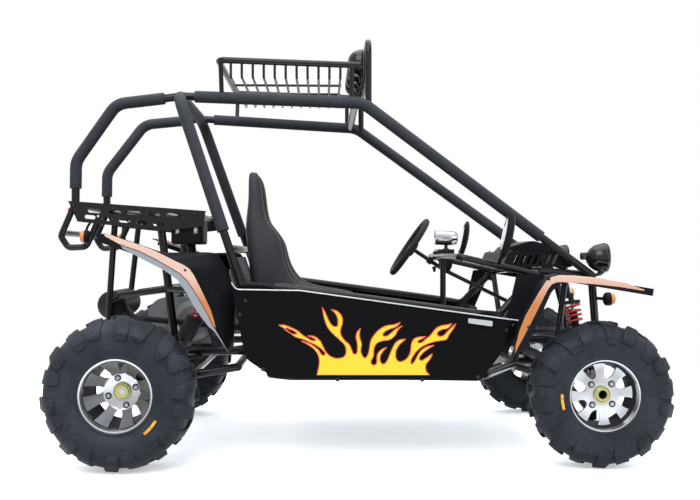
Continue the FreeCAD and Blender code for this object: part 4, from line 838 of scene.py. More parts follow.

# %% [markdown]
# ## Side panels
# The panels are flat steel sheets with a painted highlight line along the top, a row of small bolts and a
# flame pattern in yellow with an orange-red edge. The flames are drawn as one smooth 2D curve: its sharp tips
# are points without handles, and an eye is a second loop. A flat fill gives the yellow, and a flattened bead
# along the same line gives the edge, as a two-colour vinyl has it.
# %% Draw the flames
PANEL_Y = 602
FLAMES = [
    (-134, 340, 1), (-126, 395), (-137, 425), (-162, 447), (-193, 464, 1), (-161, 453), (-130, 431),
    (-113, 411), (-105, 414), (-115, 431), (-137, 448), (-162, 460), (-187, 471), (-213, 479),
    (-231, 492), (-251, 508), (-273, 521, 1), (-255, 521), (-229, 512), (-205, 500), (-187, 485),
    (-170, 474), (-149, 464), (-139, 466), (-149, 475), (-168, 482, 1), (-147, 480), (-125, 465),
    (-113, 443), (-100, 420), (-77, 403), (-50, 400), (-33, 409), (-28, 429), (-34, 449), (-52, 468),
    (-75, 489), (-94, 511), (-106, 540), (-112, 567), (-115, 585, 1), (-103, 563), (-92, 538),
    (-75, 517), (-62, 516), (-58, 531), (-61, 551), (-70, 567), (-83, 578, 1), (-61, 571), (-44, 551),
    (-42, 529), (-48, 508), (-49, 490), (-36, 467), (-16, 448), (-7, 427), (0, 415), (9, 417),
    (13, 436), (12, 458), (8, 476), (12, 494), (24, 509, 1), (20, 490), (22, 472), (28, 451), (25, 431),
    (29, 413), (41, 401), (51, 413), (57, 435), (62, 463), (75, 485), (96, 506), (121, 518), (148, 522),
    (169, 530, 1), (157, 517), (130, 506), (109, 493), (106, 483), (118, 480), (136, 491), (150, 503),
    (177, 518, 1), (161, 503), (150, 483), (130, 468), (102, 463), (82, 453), (73, 433), (71, 408),
    (62, 386), (67, 376), (80, 377), (84, 388), (85, 408), (93, 424), (120, 440, 1), (105, 424),
    (96, 406), (98, 385), (107, 378), (121, 390), (133, 417), (143, 440), (155, 458), (168, 466),
    (189, 469, 1), (170, 453), (158, 437), (152, 417), (155, 397), (166, 387), (184, 391), (202, 410),
    (208, 430), (211, 453), (221, 470), (239, 476), (262, 478, 1), (246, 469), (233, 460), (241, 455),
    (262, 468), (282, 485), (298, 505), (319, 517), (342, 521), (359, 526, 1), (344, 510), (319, 503),
    (305, 491), (310, 480), (328, 482), (344, 498), (374, 526, 1), (362, 505), (348, 485), (339, 469),
    (316, 464), (284, 457), (257, 446), (237, 433), (218, 410), (208, 387), (211, 378), (220, 385),
    (230, 403), (243, 424), (266, 440), (294, 447, 1), (266, 430), (246, 412), (239, 396), (246, 391),
    (262, 398), (287, 416, 1), (278, 396), (264, 378), (262, 364), (266, 349), (277, 338, 1)]
EYE = [(-250, 509), (-231, 506), (-213, 497), (-208, 491), (-219, 488), (-237, 496)]


def flame_curve(name, bead):
    """The flame loops in the X-Z plane: a flat fill, or a bead of a radius along the line."""
    curve = bpy.data.curves.new(name, "CURVE")
    curve.dimensions = "3D" if bead else "2D"
    if not bead:
        curve.fill_mode = "BOTH"
    curve.resolution_u = 6
    curve.bevel_depth = bead * MM
    curve.bevel_resolution = 2
    for loop in (FLAMES, EYE):
        line = curve.splines.new("BEZIER")
        line.bezier_points.add(len(loop) - 1)
        for spot, (x, z, *sharp) in zip(line.bezier_points, loop):
            spot.co = (x * MM, z * MM, 0)
            kind = "VECTOR" if sharp else "AUTO"
            spot.handle_left_type = kind
            spot.handle_right_type = kind
        line.use_cyclic_u = True
    piece = bpy.data.objects.new(name, curve)
    bpy.context.collection.objects.link(piece)
    only(piece)
    bpy.ops.object.convert(target="MESH")
    piece = newest(name)
    piece.data.transform(Matrix.Rotation(math.pi / 2, 4, "X"))
    return piece


flame_yellow = Finish("flame_yellow", (0.95, 0.66, 0.018), 0.24, coat=0.3)
flame_yellow.gloss(flame_yellow.noise(12, 2) * 0.08 + 0.18).bump(flame_yellow.noise(240, 2), 0.0002, 0.12)
flame_red = Finish("flame_red", (0.78, 0.085, 0.012), 0.26, coat=0.5)
flame_red.gloss(flame_red.noise(12, 2) * 0.08 + 0.2).bump(flame_red.noise(240, 2), 0.0002, 0.12)
fill = flame_curve("flame_fill", 0)
modify(fill, "SOLIDIFY", thickness=0.5 * MM, offset=0)
edge = flame_curve("flame_edge", 2.1)
edge.data.transform(Matrix.Diagonal((1, 0.28, 1, 1)))
for side, word in ((1, "left"), (-1, "right")):
    for source, finish in ((fill, flame_yellow), (edge, flame_red)):
        outside = Matrix.Translation((0, side * (PANEL_Y + 0.15) * MM, 0))
        decal = copy_of(source, source.name + "_" + word, outside)
        finish.on(decal)
        carry("chassis", "panel_gloss", decal)
for source in (fill, edge):
    bpy.data.objects.remove(source)
print("flames", len(FLAMES), "points")

# %% [markdown]
# ## Painted highlight line and trim of the panels
# A grey line along the top of the panel, turning down at the front of the hoop's foot, is a painted highlight
# for the bright line where the sheet's edge catches the sky. Bolts with domed heads hold the sheet, and a
# pale reflector sits near its front end, in line with the edge.
# %% Painted highlight line, bolts and reflector
EDGE = [(-446, 676), (-428, 651), (-197, 647), (604, 536)]
PANEL_BOLT = [(0, 3.2), (3.4, 2.6), (5.2, 0.8), (7.5, 0.8), (7.5, -1), (0, -1)]
BOLT_SPOTS = [
    (-395, 610), (-330, 360), (-60, 322), (250, 320), (455, 330), (560, 500), (585, 520), (-415, 560)]
REFLECTOR = [
    (418, 531), (420, 527), (505, 515), (508, 519), (508, 532), (505, 535), (420, 545), (418, 541)]
for side, word in ((1, "left"), (-1, "right")):
    # painted highlight: a grey line along the panel's top edge and down at the hoop's foot, where the sheet
    # catches the sky
    line = tube("panel_edge_" + word, rounded([(x, side * 600, z) for x, z in EDGE], 25), 2.6, sides=3)
    highlight_and_reflector_grey.on(smooth(line, 60))
    heads = [turned("bolt", PANEL_BOLT, (x, side * PANEL_Y, z), (0, side, 0), 14) for x, z in BOLT_SPOTS]
    bolts = join("panel_bolts_" + word, heads)
    frame_paint.on(smooth(bolts, 40))
    reflector = plate("panel_reflector_" + word, REFLECTOR, *sorted((side * 601, side * 607)))
    soften(reflector, 1.2 * MM, 2)
    highlight_and_reflector_grey.on(reflector)
    carry("chassis", "panel_gloss", line, bolts, reflector)
print("panel trim made")

# %% [markdown]
# ## Seats
# A moulded bucket seat: a low cushion with raised thigh sides that turns into a high back with big
# bolsters. It is a loft of closed sections from the front edge of the cushion to the top of the back.
# Each section has its back line, its raised sides and its lower middle, and subdivision rounds it.
# Piping follows the inner edge of the bolsters, and cross seams divide the middle into channels.
# %% Loft the seats
SEAT_STATIONS = [  # side crest, middle, back or underside, half width
    ((57, 545), (50, 545), (48, 505), 150), ((58, 575), (50, 570), (44, 475), 182),
    ((36, 604), (28, 590), (22, 463), 196), ((-20, 616), (-25, 594), (-25, 461), 200),
    ((-90, 626), (-92, 592), (-90, 461), 201), ((-160, 640), (-165, 592), (-165, 461), 201),
    ((-208, 662), (-235, 604), (-262, 462), 200), ((-231, 690), (-276, 642), (-346, 476), 200),
    ((-250, 722), (-300, 680), (-384, 560), 200), ((-262, 760), (-316, 728), (-392, 660), 200),
    ((-268, 800), (-326, 780), (-403, 750), 198), ((-274, 836), (-330, 826), (-411, 825), 192),
    ((-292, 868), (-342, 866), (-416, 878), 184), ((-330, 908), (-357, 912), (-412, 930), 174),
    ((-339, 948), (-365, 955), (-407, 968), 165), ((-345, 995), (-370, 998), (-405, 1006), 158),
    ((-350, 1040), (-374, 1042), (-405, 1046), 150), ((-358, 1078), (-379, 1080), (-405, 1082), 138),
    ((-374, 1106), (-386, 1107), (-400, 1107), 116)]
SEAT_RING = [
    (0.0, 0.0), (0.55, 0.0), (0.86, 0.03), (0.985, 0.18), (1.0, 0.5), (0.985, 0.8), (0.90, 0.98),
    (0.78, 1.0), (0.66, 0.86), (0.56, -1.0), (0.30, -1.0)]


def leaned(station, side):
    """The driver's (left) seat back leans a little further back than the other one."""
    lean = 35 if side > 0 else 0
    moved = [(x - lean * min(max((z - 680) / 420, 0), 1), z) for x, z in station[:3]]
    return (*moved, station[3])


def seat_section(station, middle_y):
    """One closed section of the seat, from the middle of the back round the left and right sides."""
    crest, middle, back, half = station
    left = []
    for across, depth in SEAT_RING:
        if depth < 0:
            x, z = middle
        else:
            x = back[0] + (crest[0] - back[0]) * depth
            z = back[1] + (crest[1] - back[1]) * depth
        left.append((x, across * half, z))
    ring = left + [(middle[0], 0, middle[1])] + [(x, -y, z) for x, y, z in reversed(left[1:])]
    return [(x, y + middle_y, z) for x, y, z in ring]


# %% Make both seats
SEAT_Y = 238
SEAMED = (4, 6, 8, 10, 12, 14)  # stations with a cross seam
for side, word in ((1, "left"), (-1, "right")):
    stations = [leaned(station, side) for station in SEAT_STATIONS]
    seat = loft("bucket_seat_" + word, [seat_section(station, side * SEAT_Y) for station in stations])
    modify(seat, "SUBSURF", levels=3, render_levels=3)
    smooth(seat, 80)
    leatherette.on(seat)
    seams = []
    for inner in (1, -1):
        spots = []
        for crest, middle, back, half in stations[2:-1]:
            x, z = middle[0] * 0.55 + crest[0] * 0.45, middle[1] * 0.55 + crest[1] * 0.45
            spots.append((x, side * SEAT_Y + inner * half * 0.615, z))
        seams.append(tube("seat_piping", rounded(spots, 30, 3), 2.6, sides=3))
    for index in SEAMED:
        crest, middle, back, half = stations[index]
        outwards = Vector((middle[0] - back[0], 0, middle[1] - back[1])).normalized()
        spot = Vector((middle[0], side * SEAT_Y, middle[1])) + outwards
        across = Vector((0, half * 0.5, 0))
        seams.append(tube("seat_seam", [spot + across, spot - across], 2.0, sides=2))
    piping = join("seat_seams_" + word, seams)
    moulding.on(smooth(piping, 60))
    carry("chassis", "seat_leather", seat, piping)
    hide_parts("seat_" + word)
    print(seat.name, "faces", len(seat.data.polygons))

# %% [markdown]
# ## Stripes of the fenders
# Each fender carries a stripe along its outer edge, deep orange on the falling part, with a pale peach
# painted highlight on its top where it faces the sky. Under the rear one run a thin dark red line and a
# silver band. A stripe is a thin plate whose outline tapers to a point, laid on the fender's outer side.
# %% Lay the stripes
FRONT_STRIPE = [
    (1041, 651), (972, 677), (880, 694), (788, 703), (732, 704), (705, 697), (686, 684), (659, 643),
    (631, 595), (611, 561), (589, 507), (574, 452), (573, 425), (586, 452), (616, 507), (644, 561),
    (668, 609), (691, 654), (705, 672), (723, 679), (755, 679), (788, 677), (856, 672), (949, 662),
    (1036, 648)]
REAR_TOP = [
    (-901, 860), (-852, 838), (-774, 812), (-721, 792), (-685, 774), (-643, 753), (-614, 739),
    (-593, 724), (-579, 703), (-557, 660), (-536, 617), (-518, 578), (-508, 546), (-500, 514)]
REAR_LOW = [
    (-898, 844), (-845, 815), (-774, 790), (-721, 764), (-664, 731), (-629, 710), (-604, 685),
    (-579, 649), (-554, 606), (-529, 563), (-508, 517)]
BAND_LOW = [
    (-454, 424), (-504, 499), (-525, 517), (-550, 549), (-579, 592), (-607, 642), (-639, 688),
    (-685, 721), (-756, 758), (-834, 799)]
REAR_STRIPE = REAR_TOP + REAR_LOW[::-1]
REAR_BAND = REAR_LOW[1:] + [(-478, 466)] + BAND_LOW
for side, word in ((1, "left"), (-1, "right")):
    line_route = rounded([(x, side * 619.2, z) for x, z in REAR_LOW[1:]], 12)
    line = tube("stripe_line_" + word, line_route, 1.7, sides=3)
    stripe_line.on(smooth(line, 60))
    carry("chassis", "fender_plastic", line)
    for label, outline, lift, finish in (("front_stripe_", FRONT_STRIPE, 690.6, stripe_orange),
                                         ("rear_stripe_", REAR_STRIPE, 617.8, stripe_orange),
                                         ("rear_band_", REAR_BAND, 617.4, under_silver)):
        ends = sorted((side * (lift - 3), side * (lift + 1.6)))
        stripe = plate(label + word, outline, *ends)
        soften(stripe, 1.0 * MM, 2, 60)
        finish.on(stripe)
        carry("chassis", "fender_plastic", stripe)
print("stripes laid")

# %% [markdown]
# ## Inner walls of the rear fenders
# The rear fender is one black moulding that also closes the corner between the tyre and the cockpit: from
# the stripe it curves in and forwards to the hoop, with a rounded lip along its top. It is a loft through
# thin closed sections, each from the stripe to the lip and back. A flat firewall of the same plastic closes
# the gap between the hoop's legs behind the seats.
# %% Loft the inner walls and the firewall
WALL_LINES = [  # under the stripe, at the inner lip
    ((-760, 806), (-752, 789)), ((-721, 791), (-716, 787)), ((-685, 773), (-680, 786)),
    ((-643, 752), (-640, 786)), ((-604, 728), (-590, 787)), ((-579, 700), (-545, 787)),
    ((-557, 658), (-512, 783)), ((-536, 615), (-490, 755)), ((-518, 575), (-466, 708)),
    ((-506, 540), (-450, 650)), ((-496, 505), (-443, 590)), ((-480, 468), (-446, 510)),
    ((-458, 430), (-449, 432))]
WALL_OUT, WALL_IN = 611, 497


def wall_section(outer, inner, side):
    """One closed section, from the stripe over the lip, down inside it and back along the underside."""
    (x0, z0), (x1, z1) = outer, inner
    line = [(x0, WALL_OUT, z0), (x0 * 0.72 + x1 * 0.28, 592, z0 * 0.66 + z1 * 0.34),
            (x0 * 0.34 + x1 * 0.66, 555, z0 * 0.24 + z1 * 0.76), (x1, WALL_IN + 9, z1 - 1),
            (x1 + 2, WALL_IN, z1), (x1 + 2, WALL_IN - 5, z1 - 5), (x1 + 1, WALL_IN - 5, z1 - 16)]
    under = [(x - 3, y - 1, z - 4) for x, y, z in line[:4]]
    under += [(x1 - 1, WALL_IN + 2, z1 - 6), (x1 - 1, WALL_IN - 1, z1 - 16)]
    return [(x, side * y, z) for x, y, z in line + under[::-1]]


walls = []
for side, word in ((1, "left"), (-1, "right")):
    wall = loft("fender_wall_" + word, [wall_section(outer, inner, side) for outer, inner in WALL_LINES])
    walls.append(smooth(wall, 50))
FIREWALL = [(-404, -452, 542), (-404, 452, 542), (-479, 414, 768), (-479, -414, 768)]
firewall = loft("firewall", [FIREWALL, [(x - 3, y, z - 1) for x, y, z in FIREWALL]])
walls.append(soften(firewall, 1.0 * MM, 2))
wall_plastic.on(*walls)
carry("chassis", "moulded_plastic", *walls)
print("inner walls made", [piece.name for piece in walls])

# %% [markdown]
# ## Spring struts
# A strut is a damper body and a bright rod inside a red coil spring, between two rubber-bushed eyes. The
# spring is a helix drawn as one curve with a round bevel. Its open coils let the damper show through. The
# front spring fills only the lower part of its strut, and a shroud hides most of the rear one.
# %% Make the four struts
# foot, head, coil radius, turns, wire radius and the share of the length where the spring ends
STRUTS = {"front": ((882, 405, 424), (852, 352, 690), 27.5, 4, 5.5, 0.60),
          "rear": ((-664, 415.3, 418), (-562, 410, 612.2), 24.5, 7, 4.8, 0.80)}


def helix(name, start, end, radius, turns, wire):
    """A coil spring between two points, its pitch varying a little along its length."""
    axis = (end - start).normalized()
    across = axis.orthogonal().normalized()
    beside = axis.cross(across)
    spots = []
    steps = turns * 20
    for index in range(steps + 1):
        t = index / steps
        climb = t + 0.035 * math.sin(math.tau * t)
        angle = math.tau * turns * t
        ring = across * math.cos(angle) + beside * math.sin(angle)
        spots.append(start + (end - start) * climb + ring * radius)
    return tube(name, spots, wire, sides=4)


def rod(name, start, end, radius, steps=24):
    """A round bar between two points with slightly rounded ends."""
    length = (end - start).length
    soft = min(1.5, radius * 0.3)
    return turned(name, [(0, 0), (radius - soft, 0), (radius, soft), (radius, length - soft),
                         (radius - soft, length), (0, length)], start, end - start, steps)


def strut(place, word, low, high, radius, turns, wire, upper):
    """The spring, the body and the bright rod of one strut between two points."""
    def at(share):
        return low + (high - low) * share

    name = place + "_" + word
    along = (high - low).normalized()
    pin = Vector((0, 13, 0))
    spring = smooth(helix("strut_spring_" + name, at(0.30), at(upper), radius, turns, wire), 60)
    parts = [rod("shell", low + along * 14, at(0.5), 15),
             rod("perch", at(0.27), at(0.295), radius + 6, 32),
             rod("cap", at(upper + 0.01), at(upper + 0.045), radius + 6, 32),
             rod("boot", at(upper + 0.04), at(upper + 0.16), 11),
             rod("eye_low", low - pin, low + pin, 15), rod("eye_high", high - pin, high + pin, 15)]
    if place == "rear":
        parts.append(rod("shroud", at(0.20), at(0.62), radius + 7, 40))
    body = smooth(join("strut_body_" + name, parts), 40)
    bright = smooth(rod("strut_rod_" + name, at(0.45), high - along * 13, 6), 40)
    return spring, body, bright


for place, (foot, head, *sizes) in STRUTS.items():
    for side, word in ((1, "left"), (-1, "right")):
        low, high = [Vector((x, y * side, z)) for x, y, z in (foot, head)]
        spring, body, bright = strut(place, word, low, high, *sizes)
        spring_red.on(spring)
        engine_black.on(body)
        chrome.on(bright)
        carry("chassis", "spring_red", spring, body, bright)
        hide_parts(place + "_shocks")
print("struts made")

# %% [markdown]
# ## Steering wheel and gauge
# The wheel is a foam-covered ring on a flat plate with three lightened spokes. It is drawn flat, about
# its own axis, and then turned on to the column. The gauge is a chromed cup with a dark dial.
# %% Make the steering wheel
WHEEL_HUB = Vector((283, 235, 813))
COLUMN_LEAN = 33.7  # degrees above the horizon
GRIP_RADIUS, GRIP_THICK = 138, 13.8
SPOKE = [(24, -17), (60, -13), (100, -11), (128, -16), (128, 16), (100, 11), (60, 13), (24, 17)]
SPOKE_SLOT = [(46, -6), (92, -5), (96, 0), (92, 5), (46, 6), (42, 0)]
HUB = [(0, 4), (20, 4), (27, 0), (31, -6), (33, -10), (33, -28), (24, -30), (0, -30)]
UPPER_SHAFT = [(0, -28), (9, -28), (9, -175), (0, -175)]
MIDDLE, UPWARDS, FORWARDS = (0, 0, 0), (0, 0, 1), (1, 0, 0)
on_column = Matrix.Translation(WHEEL_HUB * MM) @ Matrix.Rotation(math.radians(COLUMN_LEAN - 90), 4, "Y")


def on_wheel(piece):
    """Turn a piece drawn about the Z axis on to the steering column."""
    piece.data.transform(on_column)
    return piece


bpy.ops.mesh.primitive_torus_add(major_radius=GRIP_RADIUS * MM, minor_radius=GRIP_THICK * MM,
                                 major_segments=72, minor_segments=20)
grip = on_wheel(smooth(newest("wheel_grip")))
grip_foam.on(grip)
spokes = []
for turn in (90, 210, 330):
    spoke = plate("spoke", SPOKE, -2, 2)
    cut(spoke, [plate("spoke_slot", SPOKE_SLOT, -5, 5)])
    spoke.data.transform(Matrix.Rotation(math.pi / 2, 4, "X"))
    turned_down = Matrix.Rotation(math.radians(turn), 4, "Z") @ Matrix.Translation((0, 0, -6 * MM))
    spoke.data.transform(turned_down)
    spokes.append(soften(spoke, 1.0 * MM, 2))
spoke_plate = on_wheel(join("wheel_spokes", spokes))
bright_alloy.on(smooth(spoke_plate, 30))
hub = on_wheel(turned("wheel_hub", HUB, MIDDLE, UPWARDS, 48))
grip_foam.on(smooth(hub, 30))
shaft = on_wheel(turned("upper_shaft", UPPER_SHAFT, MIDDLE, UPWARDS, 24))
frame_paint.on(smooth(shaft, 30))
carry("steering_wheel", "grip_rubber", grip, spoke_plate, hub, shaft)
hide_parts("steering_wheel")
print("steering wheel made")

# %% Make the gauge
GAUGE = Vector((508, 235, 852))
GAUGE_CUP = [(0, 0), (14, 2), (25, 8), (31, 20), (33, 40), (33, 108), (29, 110), (28, 106), (28, 100),
             (0, 100)]
GAUGE_DIAL = [(0, 0), (27.5, 0), (27.5, 1), (0, 1)]
GAUGE_FOOT = [(0, 0), (16, 0), (16, 3), (8, 5), (8, 24), (0, 24)]
gauge_axis = Vector((-110, 0, 4)).normalized()
cup = turned("gauge_cup", GAUGE_CUP, GAUGE, gauge_axis, 48)
chrome.on(smooth(cup, 30))
dial = turned("gauge_dial", GAUGE_DIAL, GAUGE + gauge_axis * 101, gauge_axis, 48)
panel_paint.on(dial)
pivot = GAUGE + gauge_axis * 103
needle = tube("gauge_needle", [pivot, pivot + Vector((0, 14, 14))], 0.9, sides=3)
amber_lens.on(needle)
foot = turned("gauge_foot", GAUGE_FOOT, (450, 235, 802.5), UPWARDS, 24)
frame_paint.on(smooth(foot, 30))
carry("chassis", "chrome_trim", cup, dial, needle, foot)
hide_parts("speedometer")
print("gauge made")

# %% [markdown]
# ## Lamps
# Roof lamps and headlamps are spun bowls with a polished bezel, a parabolic reflector and a slightly
# domed glass with vertical flutes. A mesh guard stands before each roof lamp.
# %% Make the lamps
lens_glass = Finish("lens_glass", (0.90, 0.92, 0.94), 0.05, coat=0.2)
lens_glass.shader.inputs["Transmission Weight"].default_value = 0.92
lens_glass.bump(lens_glass.noise(60, 2, stretch=(1, 8, 1)), 0.0008, 0.4)


def lamp(name, centre, radius, depth, bowl_finish):
    """A lamp facing forwards: bowl, bezel, reflector and glass. The centre is at the front of the bezel."""
    def spun(part, profile, place=centre):
        return turned(name + part, profile, place, FORWARDS, 64)

    back = -depth
    bowl = spun("_bowl", [
        (0, back), (radius * 0.34, back + 1), (radius * 0.62, back + depth * 0.16),
        (radius * 0.84, back + depth * 0.38), (radius * 0.94, back + depth * 0.62), (radius * 0.955, -17),
        (radius * 0.90, -17), (radius * 0.5, back + depth * 0.35), (0, back + depth * 0.24)])
    bowl_finish.on(smooth(bowl, 35))
    bezel = spun("_bezel", [
        (radius * 0.90, -16), (radius - 1, -17), (radius, -14), (radius, -4), (radius - 2, -0.5),
        (radius * 0.93, 0), (radius * 0.88, -4), (radius * 0.88, -14), (radius * 0.90, -16)])
    reflector = spun("_reflector", [
        (radius * 0.87, -12), (radius * 0.70, back + depth * 0.55), (radius * 0.4, back + depth * 0.36),
        (6, back + depth * 0.30), (0, back + depth * 0.30), (0, back + depth * 0.27),
        (radius * 0.45, back + depth * 0.30), (radius * 0.74, back + depth * 0.52), (radius * 0.89, -13),
        (radius * 0.87, -12)])
    bulb = ball(name + "_bulb", Vector(centre) + Vector((back + depth * 0.42, 0, 0)), 7, detail=16)
    bowl_finish.on(smooth(bezel, 35))
    chrome.on(smooth(reflector, 40), smooth(bulb, 60))
    glass = spun("_glass", [
        (0, 1.5), (radius * 0.4, 0.5), (radius * 0.7, -2), (radius * 0.875, -6), (radius * 0.875, -9),
        (radius * 0.7, -5), (radius * 0.4, -2.5), (0, -1.5)], Vector(centre) - Vector((1.5, 0, 0)))
    lens_glass.on(smooth(glass, 50))
    return [bowl, bezel, reflector, bulb, glass]


lamp_bowl = Finish("lamp_bowl", (0.008, 0.008, 0.009), 0.16, coat=0.15, specular=0.3)
lamp_bowl.gloss(lamp_bowl.noise(20, 3) * 0.08 + 0.12).bump(lamp_bowl.noise(500, 2), 0.0002, 0.15)
ROOF_LAMPS = (-240, -80, 80, 240)
KNOB = [(0, 0), (12, 1), (15, 4), (15, 30), (10, 36), (0, 36)]
shown = []
feet = []
for number, y in enumerate(ROOF_LAMPS, 1):
    shown += lamp("roof_lamp_%d" % number, (50, y, 1552), 56, 62, lamp_bowl)
    feet.append(tube("lamp_foot", [(57, y, 1478), (40, y, 1478), (40, y, 1505)], 6, sides=4))
    feet.append(brick("lamp_yoke", (32, y - 14, 1492), (48, y + 14, 1500)))
feet = join("roof_lamp_feet", feet)
frame_paint.on(smooth(feet, 40))
carry("chassis", "lamp_body", *shown, feet)
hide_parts("roof_lamps")
heads = []
for side, word in ((1, "left"), (-1, "right")):
    y = side * 300
    heads += lamp("headlamp_" + word, (1024, y, 765), 60, 80, lamp_bowl)
    knob = turned("headlamp_knob", KNOB, (918, y, 772), FORWARDS, 32)
    post = tube("headlamp_post", [(978, y, 696), (1000, y, 700), (1000, y, 712)], 7.5, sides=5)
    clevis = brick("headlamp_clevis", (990, y - 14, 700), (1010, y + 14, 714))
    soften(clevis, 3 * MM, 2)
    stand = join("headlamp_stand_" + word, [knob, post, clevis])
    lamp_bowl.on(smooth(stand, 40))
    heads.append(stand)
carry("chassis", "lamp_body", *heads)
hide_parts("headlamps")
print("lamps", len(shown) + len(heads))

# %% [markdown]
# ## Turn signals and reflectors
# Small round signals: a black cup and a ribbed amber lens. At the rear sit red reflectors.
# %% Make the signals
def signal(centre, axis, long):
    """The cup and the lens of one signal that sticks out along an axis."""
    cup = [(0, 0), (16, 0), (24, 5), (27, 12), (27, long - 20), (25, long - 19), (0, long - 19)]
    lens = [(0, long - 21), (24.6, long - 21), (25, long - 14), (23, long - 7), (17, long - 2.5),
            (8, long - 0.4), (0, long)]
    return turned("signal_cup", cup, centre, axis, 40), turned("signal_lens", lens, centre, axis, 40)


signals, cups = [], []
for side in (1, -1):
    for centre, axis, long in (((1012, side * 300, 600), (1, 0, 0), 46),
                               ((-1025, side * 322, 848), (-1, 0, 0), 39)):
        cup, lens = signal(centre, axis, long)
        cups.append(cup)
        signals.append(lens)
    cups.append(tube("signal_stalk", [(990, side * 272, 602), (1022, side * 298, 600)], 6.5, sides=4))
    arm = [(-1030, side * 296, 905), (-1036, side * 318, 888), (-1040, side * 322, 870)]
    cups.append(tube("signal_arm", arm, 5, bend=10, sides=4))
lenses = join("signal_lenses", signals)
amber_lens.on(smooth(lenses, 40))
cups = join("signal_cups", cups)
moulding.on(smooth(cups, 40))
carry("chassis", "amber_lens", lenses, cups)
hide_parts("turn_signals")
reflectors = []
for side in (1, -1):
    near, far = sorted((side * 262, side * 290))
    for low, high in ((938, 962), (908, 930)):
        block = brick("rear_reflector", (-1121, near, low), (-1116, far, high))
        reflectors.append(soften(block, 2 * MM, 2))
reflectors = join("rear_reflectors", reflectors)
red_lens.on(smooth(reflectors, 40))
carry("chassis", "amber_lens", reflectors)
print("signals made")

# %% [markdown]
# ## Mirrors
# Oval mirror heads: a moulded shell with a flat glass towards the driver.
# %% Make the mirrors
MIRROR, MIRROR_LEAN = (578, 530, 852), 12
for side, word in ((1, "left"), (-1, "right")):
    head = ball("mirror_head", MIDDLE, 1, (20, 52, 92), 40)
    cut(head, [brick("mirror_face", (-40, -60, -100), (-13, 60, 100))])
    soften(head, 1.2 * MM, 2, 50)
    glass = ball("mirror_glass_" + word, MIDDLE, 1, (20, 44, 80), 40)
    cut(glass, [brick("mirror_back", (-12.4, -60, -100), (60, 60, 100)),
                brick("mirror_front", (-60, -60, -100), (-14.2, 60, 100))])
    middle = Vector((MIRROR[0], side * MIRROR[1], MIRROR[2])) * MM
    place = Matrix.Translation(middle) @ Matrix.Rotation(math.radians(MIRROR_LEAN), 4, "Y")
    for piece in (head, glass):
        piece.data.transform(place)
    route = [(555, side * 467.5, 736), (560, side * 500, 770), (566, side * 528, 800)]
    arm = tube("mirror_arm", route, 6.5, bend=20, sides=5)
    shell = join("mirror_shell_" + word, [head, arm])
    moulding.on(smooth(shell, 40))
    mirror_glass.on(smooth(glass, 40))
    carry("chassis", "moulded_plastic", shell, glass)
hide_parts("mirrors")
print("mirrors made")

# %% [markdown]
# ## Paper stickers on the tyres
# New tyres carry a narrow paper tag on the side wall. Each is an arc of a flat ring, cut as a plate whose
# outline follows two circles about the wheel's axle.
# %% Stick the tags
TAG_WIDTH = 10


def tag(name, wheel, radius, first, last, side, bulge):
    """A narrow arc on the side wall of a wheel, between two angles in degrees above the forward axis."""
    angles = [math.radians(first + (last - first) * step / 10) for step in range(11)]
    outline = [(wheel["x"] + reach * math.cos(angle), wheel["z"] + reach * math.sin(angle))
               for reach, row in ((radius + TAG_WIDTH / 2, angles), (radius - TAG_WIDTH / 2, angles[::-1]))
               for angle in row]
    level = side * (wheel["track"] + bulge)
    return plate(name, outline, *sorted((level, level - side * 4)))


for side, word in ((1, "left"), (-1, "right")):
    tags = {"rear_wheels": tag("tag_rear_" + word, REAR, 168, -51, -30, side, 121.6),
            "front_wheel_" + word: tag("tag_front_" + word, FRONT, 160, 177, 197, side, 82.6)}
    for body, piece in tags.items():
        sticker.on(piece)
        carry(body, "tyre_rubber", piece)
print("tags made")

# %% [markdown]
# ## Air box, ducts and small fittings of the engine bay
# The air box is blow-moulded in two halves with a raised seam and four clips. A ribbed rubber duct joins
# it to the carburettor.
# %% Make the air box and its duct
box = brick("air_box_shell", (-716, -289, 819), (-591, -121, 922))
soften(box, 12 * MM, 4)
seam = brick("air_box_seam", (-717, -290, 872), (-590, -120, 878))
soften(seam, 2.5 * MM, 2)
clips = []
for x in (-690, -618):
    for y in (-289.4, -120.6):
        clip = brick("air_box_clip", (x - 7, y - 0.9, 862), (x + 7, y + 0.9, 889))
        clips.append(soften(clip, 0.7 * MM, 2))
shell = join("air_box_body", [box, seam])
moulding.on(smooth(shell, 40))
clips = join("air_box_clips", clips)
steel.on(smooth(clips, 40))
RIB = [(17, -3), (21, -1), (21, 1), (17, 3), (17, -3)]
rib_route = rounded([(-580, -30, 690), (-620, -60, 700), (-650, -140, 760), (-650, -190, 822)], 40, 10)
duct = tube("inlet_duct", rib_route, 18, sides=8)
ribs = []
for index in range(2, len(rib_route) - 2, 2):
    spot, after = rib_route[index], rib_route[index + 1]
    ribs.append(turned("duct_rib", RIB, spot, after - spot, 28))
duct = join("inlet_duct", [duct] + ribs)
moulding.on(smooth(duct, 50))
carry("chassis", "moulded_plastic", shell, clips, duct)
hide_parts("air_box")
print("air box made")

# %% [markdown]
# ## Bolts and knobs
# The same domed bolt sits at each joint in view: the hoop's feet, the fenders, the side rails of the rear
# carrier and the nose cover.
# %% Put a bolt at every joint
BOLT = [(0, 4.2), (2.6, 4.0), (4.6, 2.8), (5.0, 0.6), (7.2, 0.5), (7.2, -1), (0, -1)]


def bolts(name, spots, slot):
    """Bolts at places along directions, joined to one piece."""
    piece = join(name, [turned(name + "_one", BOLT, place, axis, 12) for place, axis in spots])
    frame_paint.on(smooth(piece, 40))
    carry("chassis", slot, piece)


